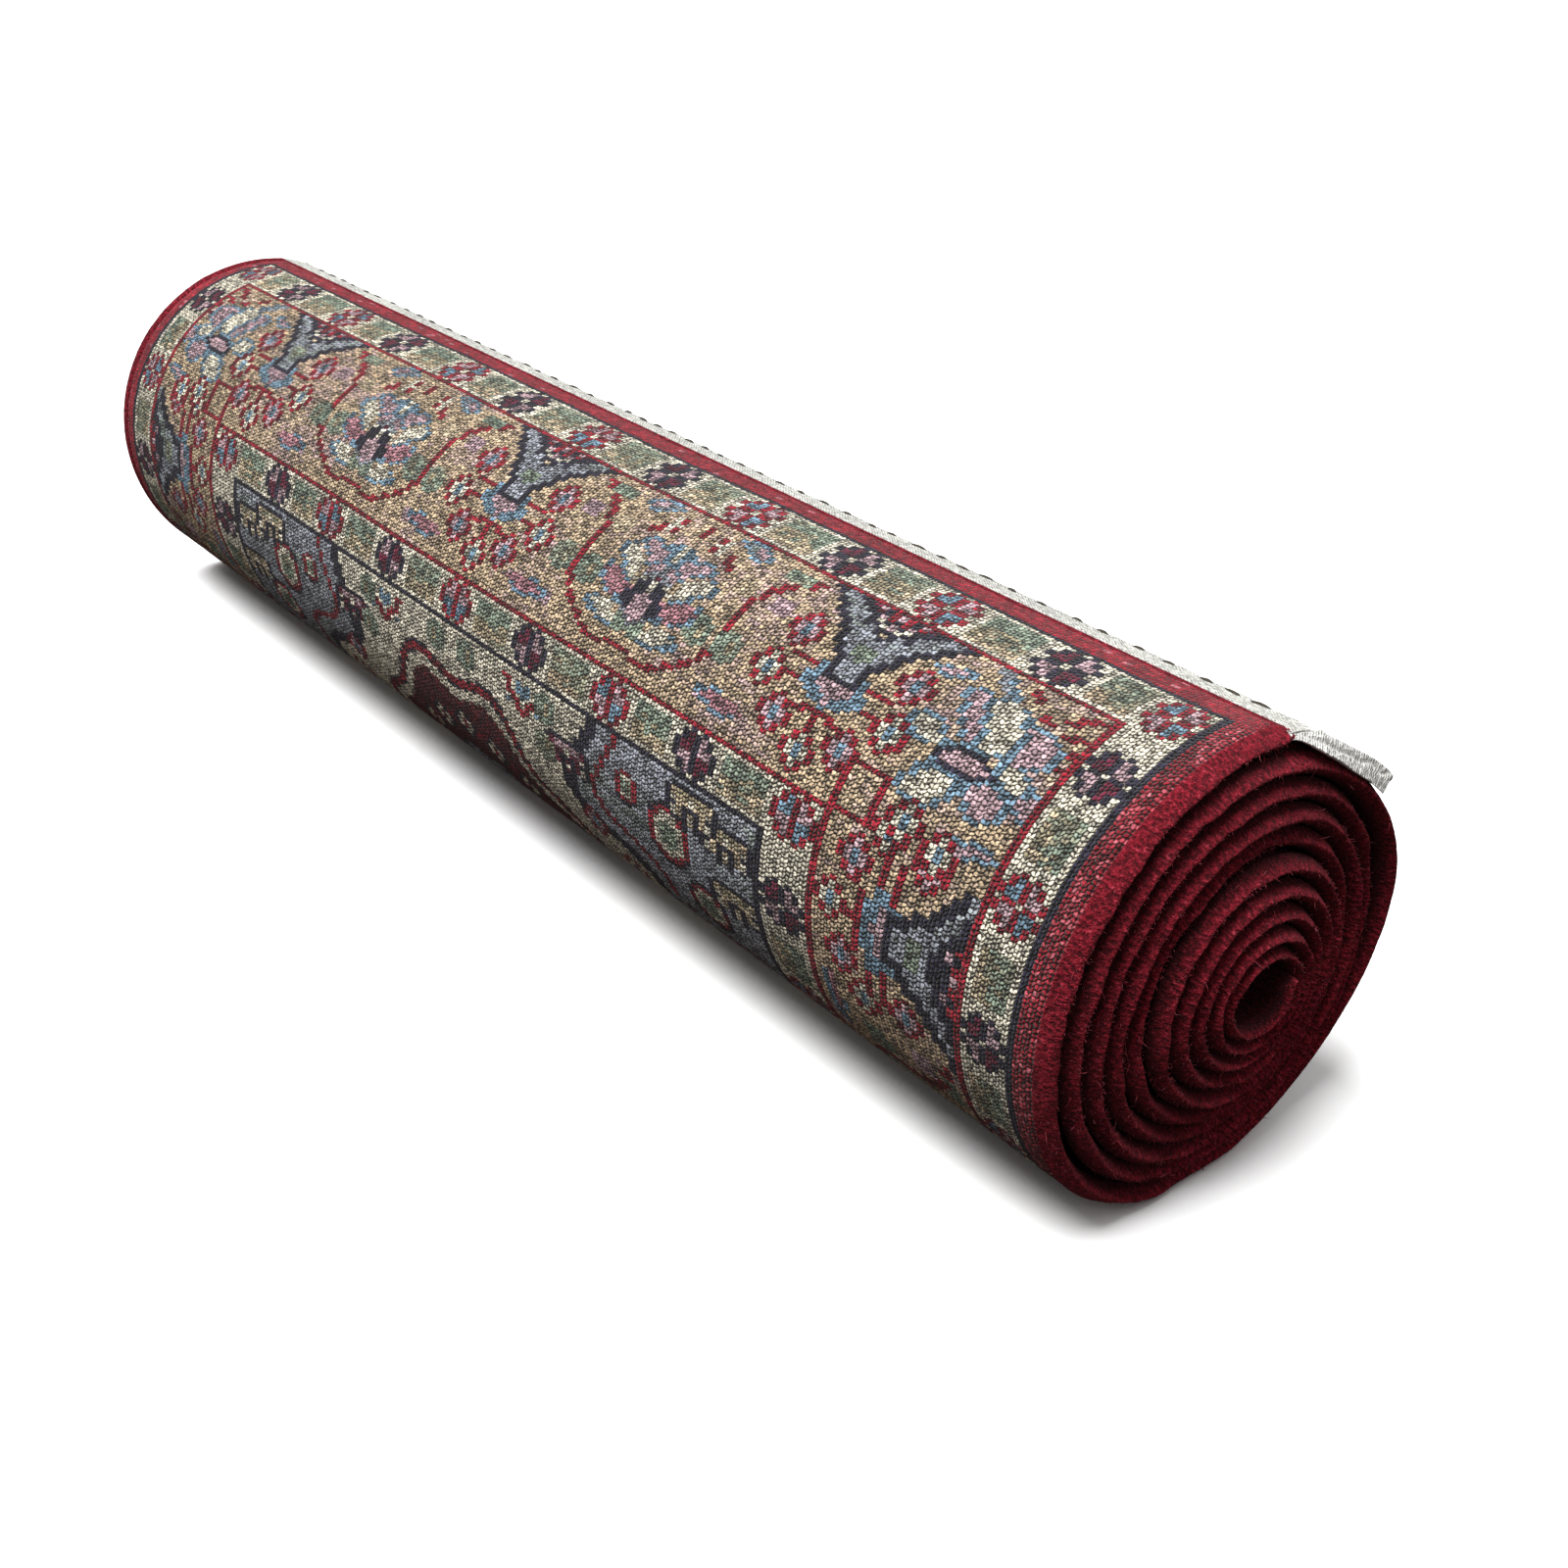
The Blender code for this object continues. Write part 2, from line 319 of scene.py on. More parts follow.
def add_floor():
    """A wide sheet of studio paper whose tone reaches 1.5, brighter than any paper, so
    that it burns out to white. Its tone falls along a smooth S where much of the air close
    above it is filled: a painted shadow, tight and dark, round the roll."""
    corners = [(-1, -1, 0), (1, -1, 0), (1, 1, 0), (-1, 1, 0)]
    mesh = bpy.data.meshes.new("floor")
    mesh.from_pydata((np.array(corners) * FLOOR_REACH).tolist(), [], [(0, 1, 2, 3)])
    material = bpy.data.materials.new("studio_paper")
    material.use_nodes = True
    tree, shader = material.node_tree, material.node_tree.nodes["Principled BSDF"]
    painted_shadow_ao = tree.nodes.new("ShaderNodeAmbientOcclusion")
    painted_shadow_ao.samples = PAINTED_SHADOW_SAMPLES
    painted_shadow_ao.inputs["Distance"].default_value = PAINTED_SHADOW_REACH
    # Painted shadow: the paper's tone is darkened by occlusion close to the roll.
    tone = ramp(tree, painted_shadow_ao.outputs["AO"], 0.0, PAINTED_SHADOW_FULL, 0.0, FLOOR_TONE)
    tree.links.new(tone, shader.inputs["Base Color"])
    shader.inputs["Roughness"].default_value = 0.9
    shader.inputs["Specular IOR Level"].default_value = 0.1
    mesh.materials.append(material)
    floor = bpy.data.objects.new("floor", mesh)
    bpy.context.scene.collection.objects.link(floor)
    floor.visible_diffuse = floor.visible_glossy = False


add_sun()
add_world()
add_floor()

# %% [markdown]
# ## The wools
# A rug of this kind has about a dozen wools. Each has a letter here, so that a motif can
# be charted as a weaver charts it, one letter for one knot. They are listed from the
# ground colours to the outlines, because where two knots fall into one, when a motif is
# turned on its side, the one later in the list is kept and outlines stay whole.

# %% Wools
WOOLS = {
    "c": ("camel", (210, 185, 151)),
    "t": ("sand", (224, 204, 170)),
    "i": ("ivory", (244, 237, 214)),
    "l": ("olive", (180, 166, 134)),
    "e": ("sage", (150, 166, 146)),
    "m": ("mauve", (203, 170, 178)),
    "k": ("rose", (196, 138, 148)),
    "g": ("grey blue", (168, 173, 184)),
    "b": ("sky blue", (126, 158, 180)),
    "d": ("wine", (110, 26, 36)),
    "p": ("plum", (118, 36, 62)),
    "r": ("red", (160, 32, 48)),
    "n": ("navy", (46, 42, 60)),
}
LETTERS = "".join(WOOLS)
BARE = -1


def linear(rgb):
    """Colours of 0 to 255 as the shader's linear values, by the screen's own curve."""
    rgb = np.asarray(rgb, float) / 255
    return np.where(rgb <= 0.04045, rgb / 12.92, ((rgb + 0.055) / 1.055) ** 2.4)


def dye(*rgb):
    """One colour for a shader, with full alpha."""
    return tuple(linear(rgb)) + (1.0,)


DYES = linear([rgb for name, rgb in WOOLS.values()])


def wool(letter):
    """The number of the wool with this letter."""
    return LETTERS.index(letter)


print("wools:", ", ".join(name for name, rgb in WOOLS.values()))

# %% [markdown]
# ## Motifs charted one by one
# The borders repeat a few old motifs: a rosette, a small blossom, a vase, a spray of
# lilies, leaves and buds. A dot leaves the ground as it is. A knot is twice as wide as a
# row is high, so a chart looks stretched here. The vase and the spray are the same on
# both sides, so their charts give the middle knot and the right half of each row. In
# the rosette and the blossom, o, x and y stand for wools that change each time.

# %% Charts of the borders
ROSETTE = """
..o.o..
.oxoyo.
.oxoyo.
oxxoyyo
oxxoyyo
iooiooi
oyyoxxo
oyyoxxo
.oyoxo.
.oyoxo.
..o.o..
"""
BLOSSOM = """
..r..
.ryr.
.ryr.
ryxyr
ryxyr
ryxyr
.ryr.
.ryr.
..r..
"""
VASE = """
mrnmpnnggnn
mrnrnngggn.
nrmnngggn..
mningggnn..
minngggn...
nngnggnn...
tngggnn....
nggggn.....
ggggnn.....
ggggn......
eeggn......
eegnn......
eegn.......
egnn.......
ggn........
ggn........
ggnb.......
ggnb.......
nnnb.......
mmmbb......
mmmbb......
mmbbb......
mbbb.......
mbb........
b..........
"""
BOUQUET = """
ib.......
ibb.bb...
ibbbmmb..
ibmmmmb..
ibmmmb.b.
bbmmb.iib
gmbm.iiib
gmmbiiiib
ggm.iiib.
pgg.iib..
ini.iib.b
inniibkkb
inn.bkkkk
mnnkkkkkb
mmnnkkkkb
mmnnkkkb.
mmnnbkb..
mmnbb....
mmg.iiib.
mge.iiiib
geeiiiibb
eeeiiibb.
.eebbb...
"""

CORNER_SPRAY = """
......gg............
......ggb..r......rr
.......gb..rr....rr.
.......ggb..r....r..
...bb...gbb.....rr..
.bmmb....gb...r.....
bmmb..bb.biib.rr..rr
.bb..bmmbiiiib...rr.
.....bmmbiiiibbbb...
.....bmmbiiiibmmmb.r
......bmmbiiiibmmmbr
......bmmbiiiibmmmb.
......bmmbiiiibmmmb.
.......bmmbiiibmmmbr
.......bmmbiiibmmmb.
...bbb..bmbiiibmmb..
..biiib.bmbiibbmb...
..biiib..bbbb.biib..
..biiiibbnnnn.biiib.
...biiibnmmmmnbiiibb
...bbb.nmmmmmmnbiibm
.......nmmmmmnbbbbmm
.rr....bnnnnnbmmbbmm
reer...bbbbbbmmmmbbm
reer..bbiiibbmmmmb.b
.rr...biiiibbmmmmb..
......biiiib.bmmmb..
.....biiiiib.bmmb...
.....biiiib...bb....
.....biiiib.........
......bbbb..........
................bbb.
..............bbmmmb
.............bmmmbb.
.............bmmb...
..............bb....
"""

# %% Charts of the small motifs
LEAF = """
.ee.
eeee
eele
eele
eele
eeee
.ee.
"""
BUD = """
....bb..
.kkkkkbb
kkkkkkkb
.bkkkbb.
..bbb...
"""
RAY = """
ri
ri
ii
ri
ri
"""
BELL = """
.bbb..
bggmb.
.bgmmb
..bgmb
...bb.
"""
TULIP = """
.b.rr
bb.r.
bb.r.
b.rr.
.rr..
.r.b.
rr...
r....
"""
COMB = """
nnnn.
mmmpn
immpn
ippin
nnpnn
pnpin
inpin
pn.n.
.n...
"""
ROSE = """
rrr...
mmrr..
mmmrr.
kkmmr.
bkkmrr
ibkkmr
ibkkmr
bkkmrr
kkmmr.
mmmrr.
mmrr..
rrr...
"""

# %% Reading and knotting a chart


def charted(chart, wools="", mirrored=False):
    """A chart as an array of wool numbers, a dot being bare ground.

    wools swaps letters first: "on xp" knots what is charted o in n, and x in p. A
    mirrored chart gives the centre knot and the right half of each row.
    """
    for pair in wools.split():
        chart = chart.replace(pair[0], pair[1])
    motif = np.array([[BARE if c == "." else wool(c) for c in line] for line in chart.split()])
    return np.hstack([motif[:, :0:-1], motif]) if mirrored else motif


def fitted(motif, rows, columns):
    """The same motif in another count of knots, by taking the nearest ones."""
    r = ((np.arange(rows) + 0.5) * motif.shape[0] / rows).astype(int)
    c = ((np.arange(columns) + 0.5) * motif.shape[1] / columns).astype(int)
    return motif[np.ix_(r, c)]


def stamp(cloth, motif, row, column):
    """Knot a motif centred on this row and column, leaving its dots bare."""
    rows = row - motif.shape[0] // 2 + np.arange(motif.shape[0])
    columns = column - motif.shape[1] // 2 + np.arange(motif.shape[1])
    r_in = (rows >= 0) & (rows < cloth.shape[0])
    c_in = (columns >= 0) & (columns < cloth.shape[1])
    motif = motif[np.ix_(r_in, c_in)]
    spot = np.ix_(rows[r_in], columns[c_in])
    cloth[spot] = np.where(motif == BARE, cloth[spot], motif)


def stem(cloth, letter, *stops):
    """Knot a line from stop to stop, each one (row, column), one knot at a time."""
    stops = np.array(stops, float)
    for start, end in zip(stops[:-1], stops[1:]):
        steps = int(np.abs(end - start).max()) * 2 + 1
        path = start + (end - start) * np.linspace(0, 1, steps)[:, None]
        r, c = np.rint(path).astype(int).T
        inside = (r >= 0) & (r < cloth.shape[0]) & (c >= 0) & (c < cloth.shape[1])
        cloth[r[inside], c[inside]] = wool(letter)


# %% [markdown]
# ## The layout of the borders
# From the edge inwards come a plain red band, a navy line, a narrow ivory border of
# rosettes, a red line, the wide camel border of vases and sprays, and the same again in
# the other order. A band is so many knots wide along the rug's sides and so many rows
# deep along its end, because a row is only half as high as a knot is wide.

# %% Counts of knots and rows
BANDS = ["red", "navy", "rosettes", "line", "vases", "line", "rosettes", "navy"]
BAND_WOOL = {"red": "r", "navy": "n", "line": "r", "rosettes": "i", "vases": "c"}
SIDE_KNOTS = [3, 1, 7, 1, 20, 1, 7, 1]
END_ROWS = [6, 1, 12, 1, 39, 1, 10, 1]
HALF_FIELD = 58
COLUMNS = 2 * (HALF_FIELD + sum(SIDE_KNOTS)) + 1
ROWS = 281
ROW_HEIGHT = float(np.interp(1.0, *travelled(0.0))) / ROWS
KNOT_WIDTH = 0.0040
SIDE_FROM = COLUMNS // 2 + 1 - np.cumsum(SIDE_KNOTS)
END_FROM = np.concatenate([[0], np.cumsum(END_ROWS)])
print("%d knots along, %d rows of %.2f mm round the outer turn" % (COLUMNS, ROWS, ROW_HEIGHT * 1000))

# %% [markdown]
# ## The wide border
# One repeat runs from a vase, over a spray of lilies in a wavy vine, to the next vase.
# Down the sides the same border is turned a quarter, and in the corner the spray
# stands on the diagonal.

# %% One repeat
REPEAT = 60
VASE_ROWS = END_ROWS[4]
VINE = ((2, 19), (5, 16), (9, 14), (13, 13), (24, 13), (28, 12), (32, 9), (35, 5), (34, 0))


def vase_repeat():
    """One repeat of the wide border as rows and knots, worked on three in a row so that
    what hangs over at a side is whole, with the middle one kept."""
    cloth = np.full((VASE_ROWS, 3 * REPEAT), wool("c"))
    vase, bouquet = charted(VASE, mirrored=True), charted(BOUQUET, mirrored=True)
    leaf, bud, bell, ray = charted(LEAF), charted(BUD), charted(BELL), charted(RAY)
    for centre in range(0, 4 * REPEAT, REPEAT):
        middle = centre + REPEAT // 2
        for side in (-1, 1):
            stem(cloth, "r", *[(row, middle + side * k) for row, k in VINE])
            for row in (2, 3, 4):
                stem(cloth, "e", (row, middle + side * 14), (row, middle + side * 17))
            for row in (9, 10, 11, 12):
                stem(cloth, "m", (row, middle + side * 16), (row, middle + side * 18))
                stem(cloth, "t", (row, middle + side * 10), (row, middle + side * 12))
            for row in (32, 33, 34):
                stem(cloth, "m", (row, middle + side * 14), (row, middle + side * 16))
            stamp(cloth, leaf, 23, middle + side * 15)
            stamp(cloth, leaf, 23, middle + side * 10)
            stamp(cloth, bell[:, ::side], 2, middle + side * 8)
            stamp(cloth, ray[:, ::side], 5, middle + side * 4)
            stem(cloth, "r", (9, middle + side * 7), (6, middle + side * 6))
            stem(cloth, "r", (17, centre + side * 4), (17, centre + side * 7))
            stem(cloth, "r", (21, centre + side * 4), (21, centre + side * 7))
            stem(cloth, "r", (25, centre + side), (27, centre + side * 4))
            stamp(cloth, bud[:, ::side], 33, centre + side * 12)
        stem(cloth, "r", (5, middle), (2, middle))
        stamp(cloth, bouquet, 20, middle)
        stamp(cloth, vase, 12, centre)
        stem(cloth, "r", (25, centre), (28, centre))
    return cloth[:, REPEAT:2 * REPEAT]


# %% Turning a motif


def turned(motif, rows, columns):
    """A motif turned a quarter, in this many rows and knots: each new knot covers two
    old rows, and takes the wool that comes later in the list."""
    old_column = ((np.arange(rows) + 0.5) * ROW_HEIGHT / KNOT_WIDTH).astype(int)
    edges = np.arange(columns)[:, None] + np.array([0.25, 0.75])
    old_row = (edges * KNOT_WIDTH / ROW_HEIGHT).astype(int)
    old_column = old_column % motif.shape[1]
    old_row = np.clip(old_row, 0, motif.shape[0] - 1)
    return motif[old_row.T[:, None, :], old_column[None, :, None]].max(axis=0)


# %% The wide border, the corner and the blossoms
SIDE_VASE = 74
SIDE_REPEAT = round(REPEAT * KNOT_WIDTH / ROW_HEIGHT)
VASE_BLOSSOMS = ((12, 8, "ym xb"), (22, 9, "yi xb"), (29, 5, "ym xb"), (33, 0, "yi xb"))
CORNER_BLOSSOMS = ((34, 8), (36, 13))
BRACKET = ((38, -1), (29, -1), (29, 4), (38, 4))


def wide_border(cloth):
    """The camel border on the right half: along the end, then down the side."""
    repeat = vase_repeat()
    first, inner, knots = END_FROM[4], SIDE_FROM[4], SIDE_KNOTS[4]
    last = first + VASE_ROWS
    cloth[first:last, :inner] = np.tile(repeat, 2)[:, :inner]
    shift = round((SIDE_VASE - last) * ROW_HEIGHT / KNOT_WIDTH)
    side = turned(np.roll(repeat, shift, axis=1), ROWS - last, knots)
    cloth[last:, inner:inner + knots] = side[:, ::-1]
    stamp(cloth, charted(CORNER_SPRAY), first + len(charted(CORNER_SPRAY)) // 2, inner + knots // 2)
    stamp(cloth, charted(VASE, mirrored=True), first + 12, REPEAT)
    for row, over, wools in VASE_BLOSSOMS:
        motif = charted(BLOSSOM, wools)
        for side in (-1, 1):
            for centre in (0, REPEAT):
                stamp(cloth, motif, first + row, centre + side * over)
            for centre in (SIDE_VASE, SIDE_VASE + SIDE_REPEAT):
                down = centre + round(side * over * KNOT_WIDTH / ROW_HEIGHT)
                across = inner + knots - 1 - round(row * ROW_HEIGHT / KNOT_WIDTH)
                stamp(cloth, motif, down, across)
    for row, over in CORNER_BLOSSOMS:
        stamp(cloth, charted(BLOSSOM, "yi xb"), first + row, inner + over)
    square = np.array(BRACKET + BRACKET[:1]) + (first, inner)
    cloth[first + 31:first + 37, inner + 1:inner + 4] = wool("c")
    stem(cloth, "r", *square)


# %% The narrow borders
LIGHT_ROSETTE, DARK_ROSETTE = "or xb ym", "on xp ym"
OUTER_ALONG = (0, 16, 31, 47, 62, 78, 92)
OUTER_DOWN = range(30, 281, 26)
INNER_ALONG = (0, 16, 32, 47, 63)
INNER_DOWN = range(83, 281, 26)
SMALLEST_PATCH = 5


def patch(part, axis, seed):
    """Fill a part of the cloth with sage that turns to olive and sand towards the
    field, knot by knot, as the weaver's lots of wool ran out."""
    share = (np.indices(part.shape)[axis] + 0.5) / part.shape[axis]
    share = 1 - share if axis else share
    share = share + np.random.default_rng(seed).uniform(-0.30, 0.30, part.shape)
    part[:] = np.where(share < 0.55, wool("e"), np.where(share < 0.85, wool("l"), wool("t")))


def rosette_border(cloth, band, along, down):
    """One narrow border on the right half, with a patch between rosettes; dark and light
    rosettes take turns."""
    first_row, rows = END_FROM[band], END_ROWS[band]
    first_column, columns = SIDE_FROM[band], SIDE_KNOTS[band]
    for start, end in zip(along[:-1], along[1:]):
        patch(cloth[first_row + 1:first_row + rows - 1, start + 5:end - 4], 0, start)
    middle_row, middle = first_row + rows // 2, first_column + columns // 2
    for start, end in zip([middle_row] + list(down)[:-1], down):
        top, foot = start + 9, end - 7
        if foot - top < SMALLEST_PATCH:
            continue
        patch(cloth[top:foot, first_column + 1:first_column + columns - 1], 1, start)
    for number, stop in enumerate(along):
        wools = (LIGHT_ROSETTE, DARK_ROSETTE)[number % 2]
        stamp(cloth, fitted(charted(ROSETTE, wools), rows, columns), middle_row, stop)
    for number, stop in enumerate(down):
        wools = (DARK_ROSETTE, LIGHT_ROSETTE)[number % 2]
        stamp(cloth, charted(ROSETTE, wools), stop, middle)


# %% [markdown]
# ## The field
# Inside the borders the ivory field holds a grey-blue scalloped piece in each corner
# and a row of wine-red medallions down the middle. The photograph shows only a strip of
# it, low on the roll, so the rest follows what such runners have.

# %% Corner pieces and medallions
CORNER_WIDE, CORNER_DEEP = 0.125, 0.105
CORNER_ROSES = ((0.060, 0.030, 0.011), (0.040, 0.060, 0.010), (0.090, 0.020, 0.006))
CORNER_COMBS = ((0.020, 0.016), (0.044, 0.010), (0.016, 0.044))
MEDALLION = 0.094
MEDALLION_DROPS = (0.116, 0.416)


def corner_piece(part, x, y, side):
    """A quarter of an oval whose radius swells and shrinks nine times round it."""
    over, down = (side - x) / CORNER_WIDE, y / CORNER_DEEP
    reach = np.hypot(over, down) * (1 + 0.10 * np.cos(9 * np.arctan2(down, over)))
    for size, letter in ((1.08, "n"), (1.00, "g"), (0.90, "r"), (0.86, "g")):
        part[reach < size] = wool(letter)
    for over, down, size in CORNER_ROSES:
        far = np.hypot(side - over - x, y - down) / size
        for share, letter in ((1.45, "n"), (1.25, "r"), (1.0, "i"), (0.62, "e")):
            part[far < share] = wool(letter)
    comb = charted(COMB, "pt ml", mirrored=True)
    for over, down in CORNER_COMBS:
        stamp(part, comb, round(down / ROW_HEIGHT), round((side - over) / KNOT_WIDTH))


def medallion(part, x, y, centre):
    """A round of eight shallow lobes, ring in ring, with sixteen blossoms on it."""
    far = np.hypot(x, y - centre) / (1 - 0.06 * np.cos(8 * np.arctan2(x, y - centre)))
    part[np.abs(far - MEDALLION) < 0.0034] = wool("n")
    part[np.abs(far - MEDALLION) < 0.0020] = wool("r")
    part[far < MEDALLION - 0.010] = wool("d")
    part[np.abs(far - 0.66 * MEDALLION) < 0.0030] = wool("r")
    for share, letter in ((0.46, "n"), (0.43, "g"), (0.26, "r"), (0.22, "i")):
        part[far < share * MEDALLION] = wool(letter)
    middle = round(centre / ROW_HEIGHT)
    for angle in np.linspace(0, np.pi, 9):
        down = 0.66 * MEDALLION * np.cos(angle) / ROW_HEIGHT
        over = 0.66 * MEDALLION * np.sin(angle) / KNOT_WIDTH
        stamp(part, charted(BLOSSOM, "rn yi xr"), round(middle + down), round(over))
    stamp(part, charted(ROSE, mirrored=True), middle, 0)


# %% The field's sprays and blossoms
FIELD_BLOSSOM_WOOLS = ("yi xb", "ym xb", "yk xi")
FIELD_BLOSSOMS = (
    (0.055, 0.110, 1), (0.078, 0.128, 0), (0.160, 0.128, 2), (0.182, 0.110, 0),
    (0.190, 0.205, 1), (0.205, 0.150, 1), (0.215, 0.190, 0), (0.160, 0.215, 0),
    (0.250, 0.125, 0), (0.286, 0.125, 0), (0.230, 0.060, 2), (0.306, 0.060, 2),
    (0.321, 0.190, 0), (0.331, 0.150, 1), (0.355, 0.110, 0), (0.378, 0.128, 2),
    (0.390, 0.205, 1), (0.446, 0.205, 2),
)
FIELD_SPRAYS = ((0.148, 0.172), (0.418, 0.160))
FIELD_ROSES = ((0.268, 0.085), (0.268, 0.165))


def field(cloth):
    """The field of the right half, from the inner navy line inwards."""
    row, column = END_FROM[-1], SIDE_FROM[-1]
    part = cloth[row:, :column]
    y = (np.arange(part.shape[0])[:, None] + 0.5) * ROW_HEIGHT
    x = np.arange(column)[None, :] * KNOT_WIDTH
    corner_piece(part, x, y, column * KNOT_WIDTH)
    for centre in MEDALLION_DROPS:
        medallion(part, x, y, centre)

    def put(motif, down, over):
        stamp(part, motif, round(down / ROW_HEIGHT), round(over / KNOT_WIDTH))

    tulip, comb = charted(TULIP, mirrored=True), charted(COMB, mirrored=True)
    for top in (0.012, 0.312):
        put(tulip, top, 0.064)
        put(comb, top + 0.014, 0.100)
        for down, over in ((0.016, 0.084), (-0.004, 0.084), (-0.004, 0.016)):
            put(charted(LEAF), top + down, over)
    for down, over, number in FIELD_BLOSSOMS:
        put(charted(BLOSSOM, FIELD_BLOSSOM_WOOLS[number]), down, over)
    for down, over in FIELD_SPRAYS:
        put(charted(BOUQUET, "it", mirrored=True), down, over)
    for down, over in FIELD_ROSES:
        put(charted(ROSE, mirrored=True), down, over)
    put(charted(VASE, mirrored=True), 0.238, 0)
    put(charted(VASE, mirrored=True)[::-1], 0.298, 0)


# %% The whole pattern


def pattern():
    """The rug's pattern round the outer turn, a wool number for each row and knot: the
    right half is worked out, its centre column first, and mirrored for the left."""
    right = np.full((ROWS, COLUMNS // 2 + 1), wool("i"))
    row, column = 0, right.shape[1]
    for band, knots, rows in zip(BANDS, SIDE_KNOTS, END_ROWS):
        right[row:, :column] = wool(BAND_WOOL[band])
        row, column = row + rows, column - knots
    right[row:, :column] = wool("i")
    field(right)
    wide_border(right)
    rosette_border(right, 2, OUTER_ALONG, OUTER_DOWN)
    rosette_border(right, 6, INNER_ALONG, INNER_DOWN)
    return np.hstack([right[:, :0:-1], right])


PATTERN = pattern()
print("pattern: %d rows of %d knots" % PATTERN.shape)

# %% [markdown]
# ## Meshes from grids
# Every piece below is a grid of points worked out as whole arrays. A closed cloth is a
# ring of points round its cross-section, carried along. Ring points that face each
# other across the cloth are joined to close its two ends.

# %% Helpers for grids


def smooth_noise(shape, cells, seed):
    """Soft random values from -1 to 1: a coarse grid of random numbers, read between
    its points along a smooth S, so that neighbours differ little."""
    coarse = np.random.default_rng(seed).uniform(-1, 1, (cells[0] + 2, cells[1] + 2))
    places = [np.linspace(0, count, size) for count, size in zip(cells, shape)]
    low = [np.floor(place_along).astype(int) for place_along in places]
    part = [place_along - lower for place_along, lower in zip(places, low)]
    part = [share * share * (3 - 2 * share) for share in part]
    rows = coarse[low[0]] * (1 - part[0][:, None]) + coarse[low[0] + 1] * part[0][:, None]
    return rows[:, low[1]] * (1 - part[1]) + rows[:, low[1] + 1] * part[1]


def grid_faces(rows, columns, ring=False):
    """Quads over a grid of points counted row by row; ring joins each row's two ends."""
    index = np.arange(rows * columns).reshape(rows, columns)
    if ring:
        index = np.hstack([index, index[:, :1]])
    quads = [index[:-1, :-1], index[:-1, 1:], index[1:, 1:], index[1:, :-1]]
    return np.stack(quads, axis=-1).reshape(-1, 4)


def turned_out(points, faces):
    """The faces of a closed body, all turned round if they point inwards. Then the
    volume inside, the sum of the cones from the origin to each face's fan of
    triangles, comes out below 0."""
    fans = np.array([(face[0], b, c) for face in faces for b, c in zip(face[1:-1], face[2:])])
    a, b, c = (points[fans[:, k]] for k in range(3))
    inwards = np.einsum("ij,ij->i", a, np.cross(b, c)).sum() < 0
    return [face[::-1] for face in faces] if inwards else faces


def closed_loft(grid):
    """Points and faces of a closed body from rings, one in each row of the grid. The
    ring's first point and its middle one lie on the cloth's two rims, and point k and
    point -k face each other, so quads between such pairs close the ends."""
    rows, count = grid.shape[:2]
    points = grid.reshape(-1, 3)
    k = np.arange(count // 2)
    pair = np.stack([k, k + 1, (count - k - 1) % count, (count - k) % count], axis=-1)
    ends = np.concatenate([pair[:, ::-1], pair + (rows - 1) * count])
    ends = [list(dict.fromkeys(quad)) for quad in ends.tolist()]
    faces = grid_faces(rows, count, ring=True).tolist() + [face for face in ends if len(face) > 2]
    return points, turned_out(points, faces)


def capped_tube(grid):
    """Outward faces of a closed tube from rings, one in each row of the grid, with a
    face over each end."""
    rows, count = grid.shape[:2]
    ring = np.arange(count)
    caps = [ring[::-1].tolist(), (ring + (rows - 1) * count).tolist()]
    return turned_out(grid.reshape(-1, 3), grid_faces(rows, count, ring=True).tolist() + caps)


def shifted(parts, count):
    """The faces of several parts in one list, each part's corners counted on by this
    many points."""
    return [[corner + number * count for corner in face]
            for number, faces in enumerate(parts) for face in faces]


def add_piece(name, points, faces, material):
    """A smooth-shaded object at the origin with this mesh and material, with what would
    reach below the floor raised to lie on it."""
    points[:, 2] = np.maximum(points[:, 2], 0.0)
    mesh = bpy.data.meshes.new(name)
    mesh.from_pydata(points.tolist(), [], faces)
    mesh.materials.append(material)
    mesh.shade_smooth()
    piece = bpy.data.objects.new(name, mesh)
    bpy.context.scene.collection.objects.link(piece)
    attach(piece, "root")
    triangles = sum(len(face) - 2 for face in faces)
    print("%s: %d triangles" % (name, triangles))
    return piece


# %% [markdown]
# ## Wool that has been handled
# Knotted wool is never one flat tone: fine fibres catch the light, and dust and wear
# change it slowly over the rug. Both materials of wool use this group, so it is built
# once. It puts out a shade around 1 to multiply a colour by, and a height for bumps.

# %% The wool group


def wool_fuzz_group():
    """Shade and Height of felted fibres: two sizes of noise on Object coordinates."""
    group, given, made = new_group(
        "wool_fuzz", {"Fibre Size": "Float", "Contrast": "Float"}, {"Shade": "Float", "Height": "Float"})
    place_at = group.nodes.new("ShaderNodeTexCoord").outputs["Object"]
    scale = sum_up(group, "DIVIDE", 1.0, given.outputs["Fibre Size"])
    fine = noise(group, place_at, scale, 3.0)
    broad = noise(group, place_at, 22.0, 2.0)
    height = ramp(group, fine, 0.30, 0.70)
    swing = sum_up(group, "MULTIPLY", sum_up(group, "SUBTRACT", height, 0.5), given.outputs["Contrast"])
    slow = ramp(group, broad, 0.30, 0.70, -0.08, 0.08)
    shade = sum_up(group, "ADD", sum_up(group, "ADD", 1.0, swing), slow)
    group.links.new(shade, made.inputs["Shade"])
    group.links.new(height, made.inputs["Height"])
    return group


WOOL_FUZZ = wool_fuzz_group()

# %% [markdown]
# ## The red wool
# The rug's two side edges are overcast with thick red wool, and wound up they stand as
# a spiral of soft ridges. The winding is one closed sheet of cloth, three metres long:
# a flat section with softly pointed edges, carried along the spiral. The far edge is
# blunter than the near one.

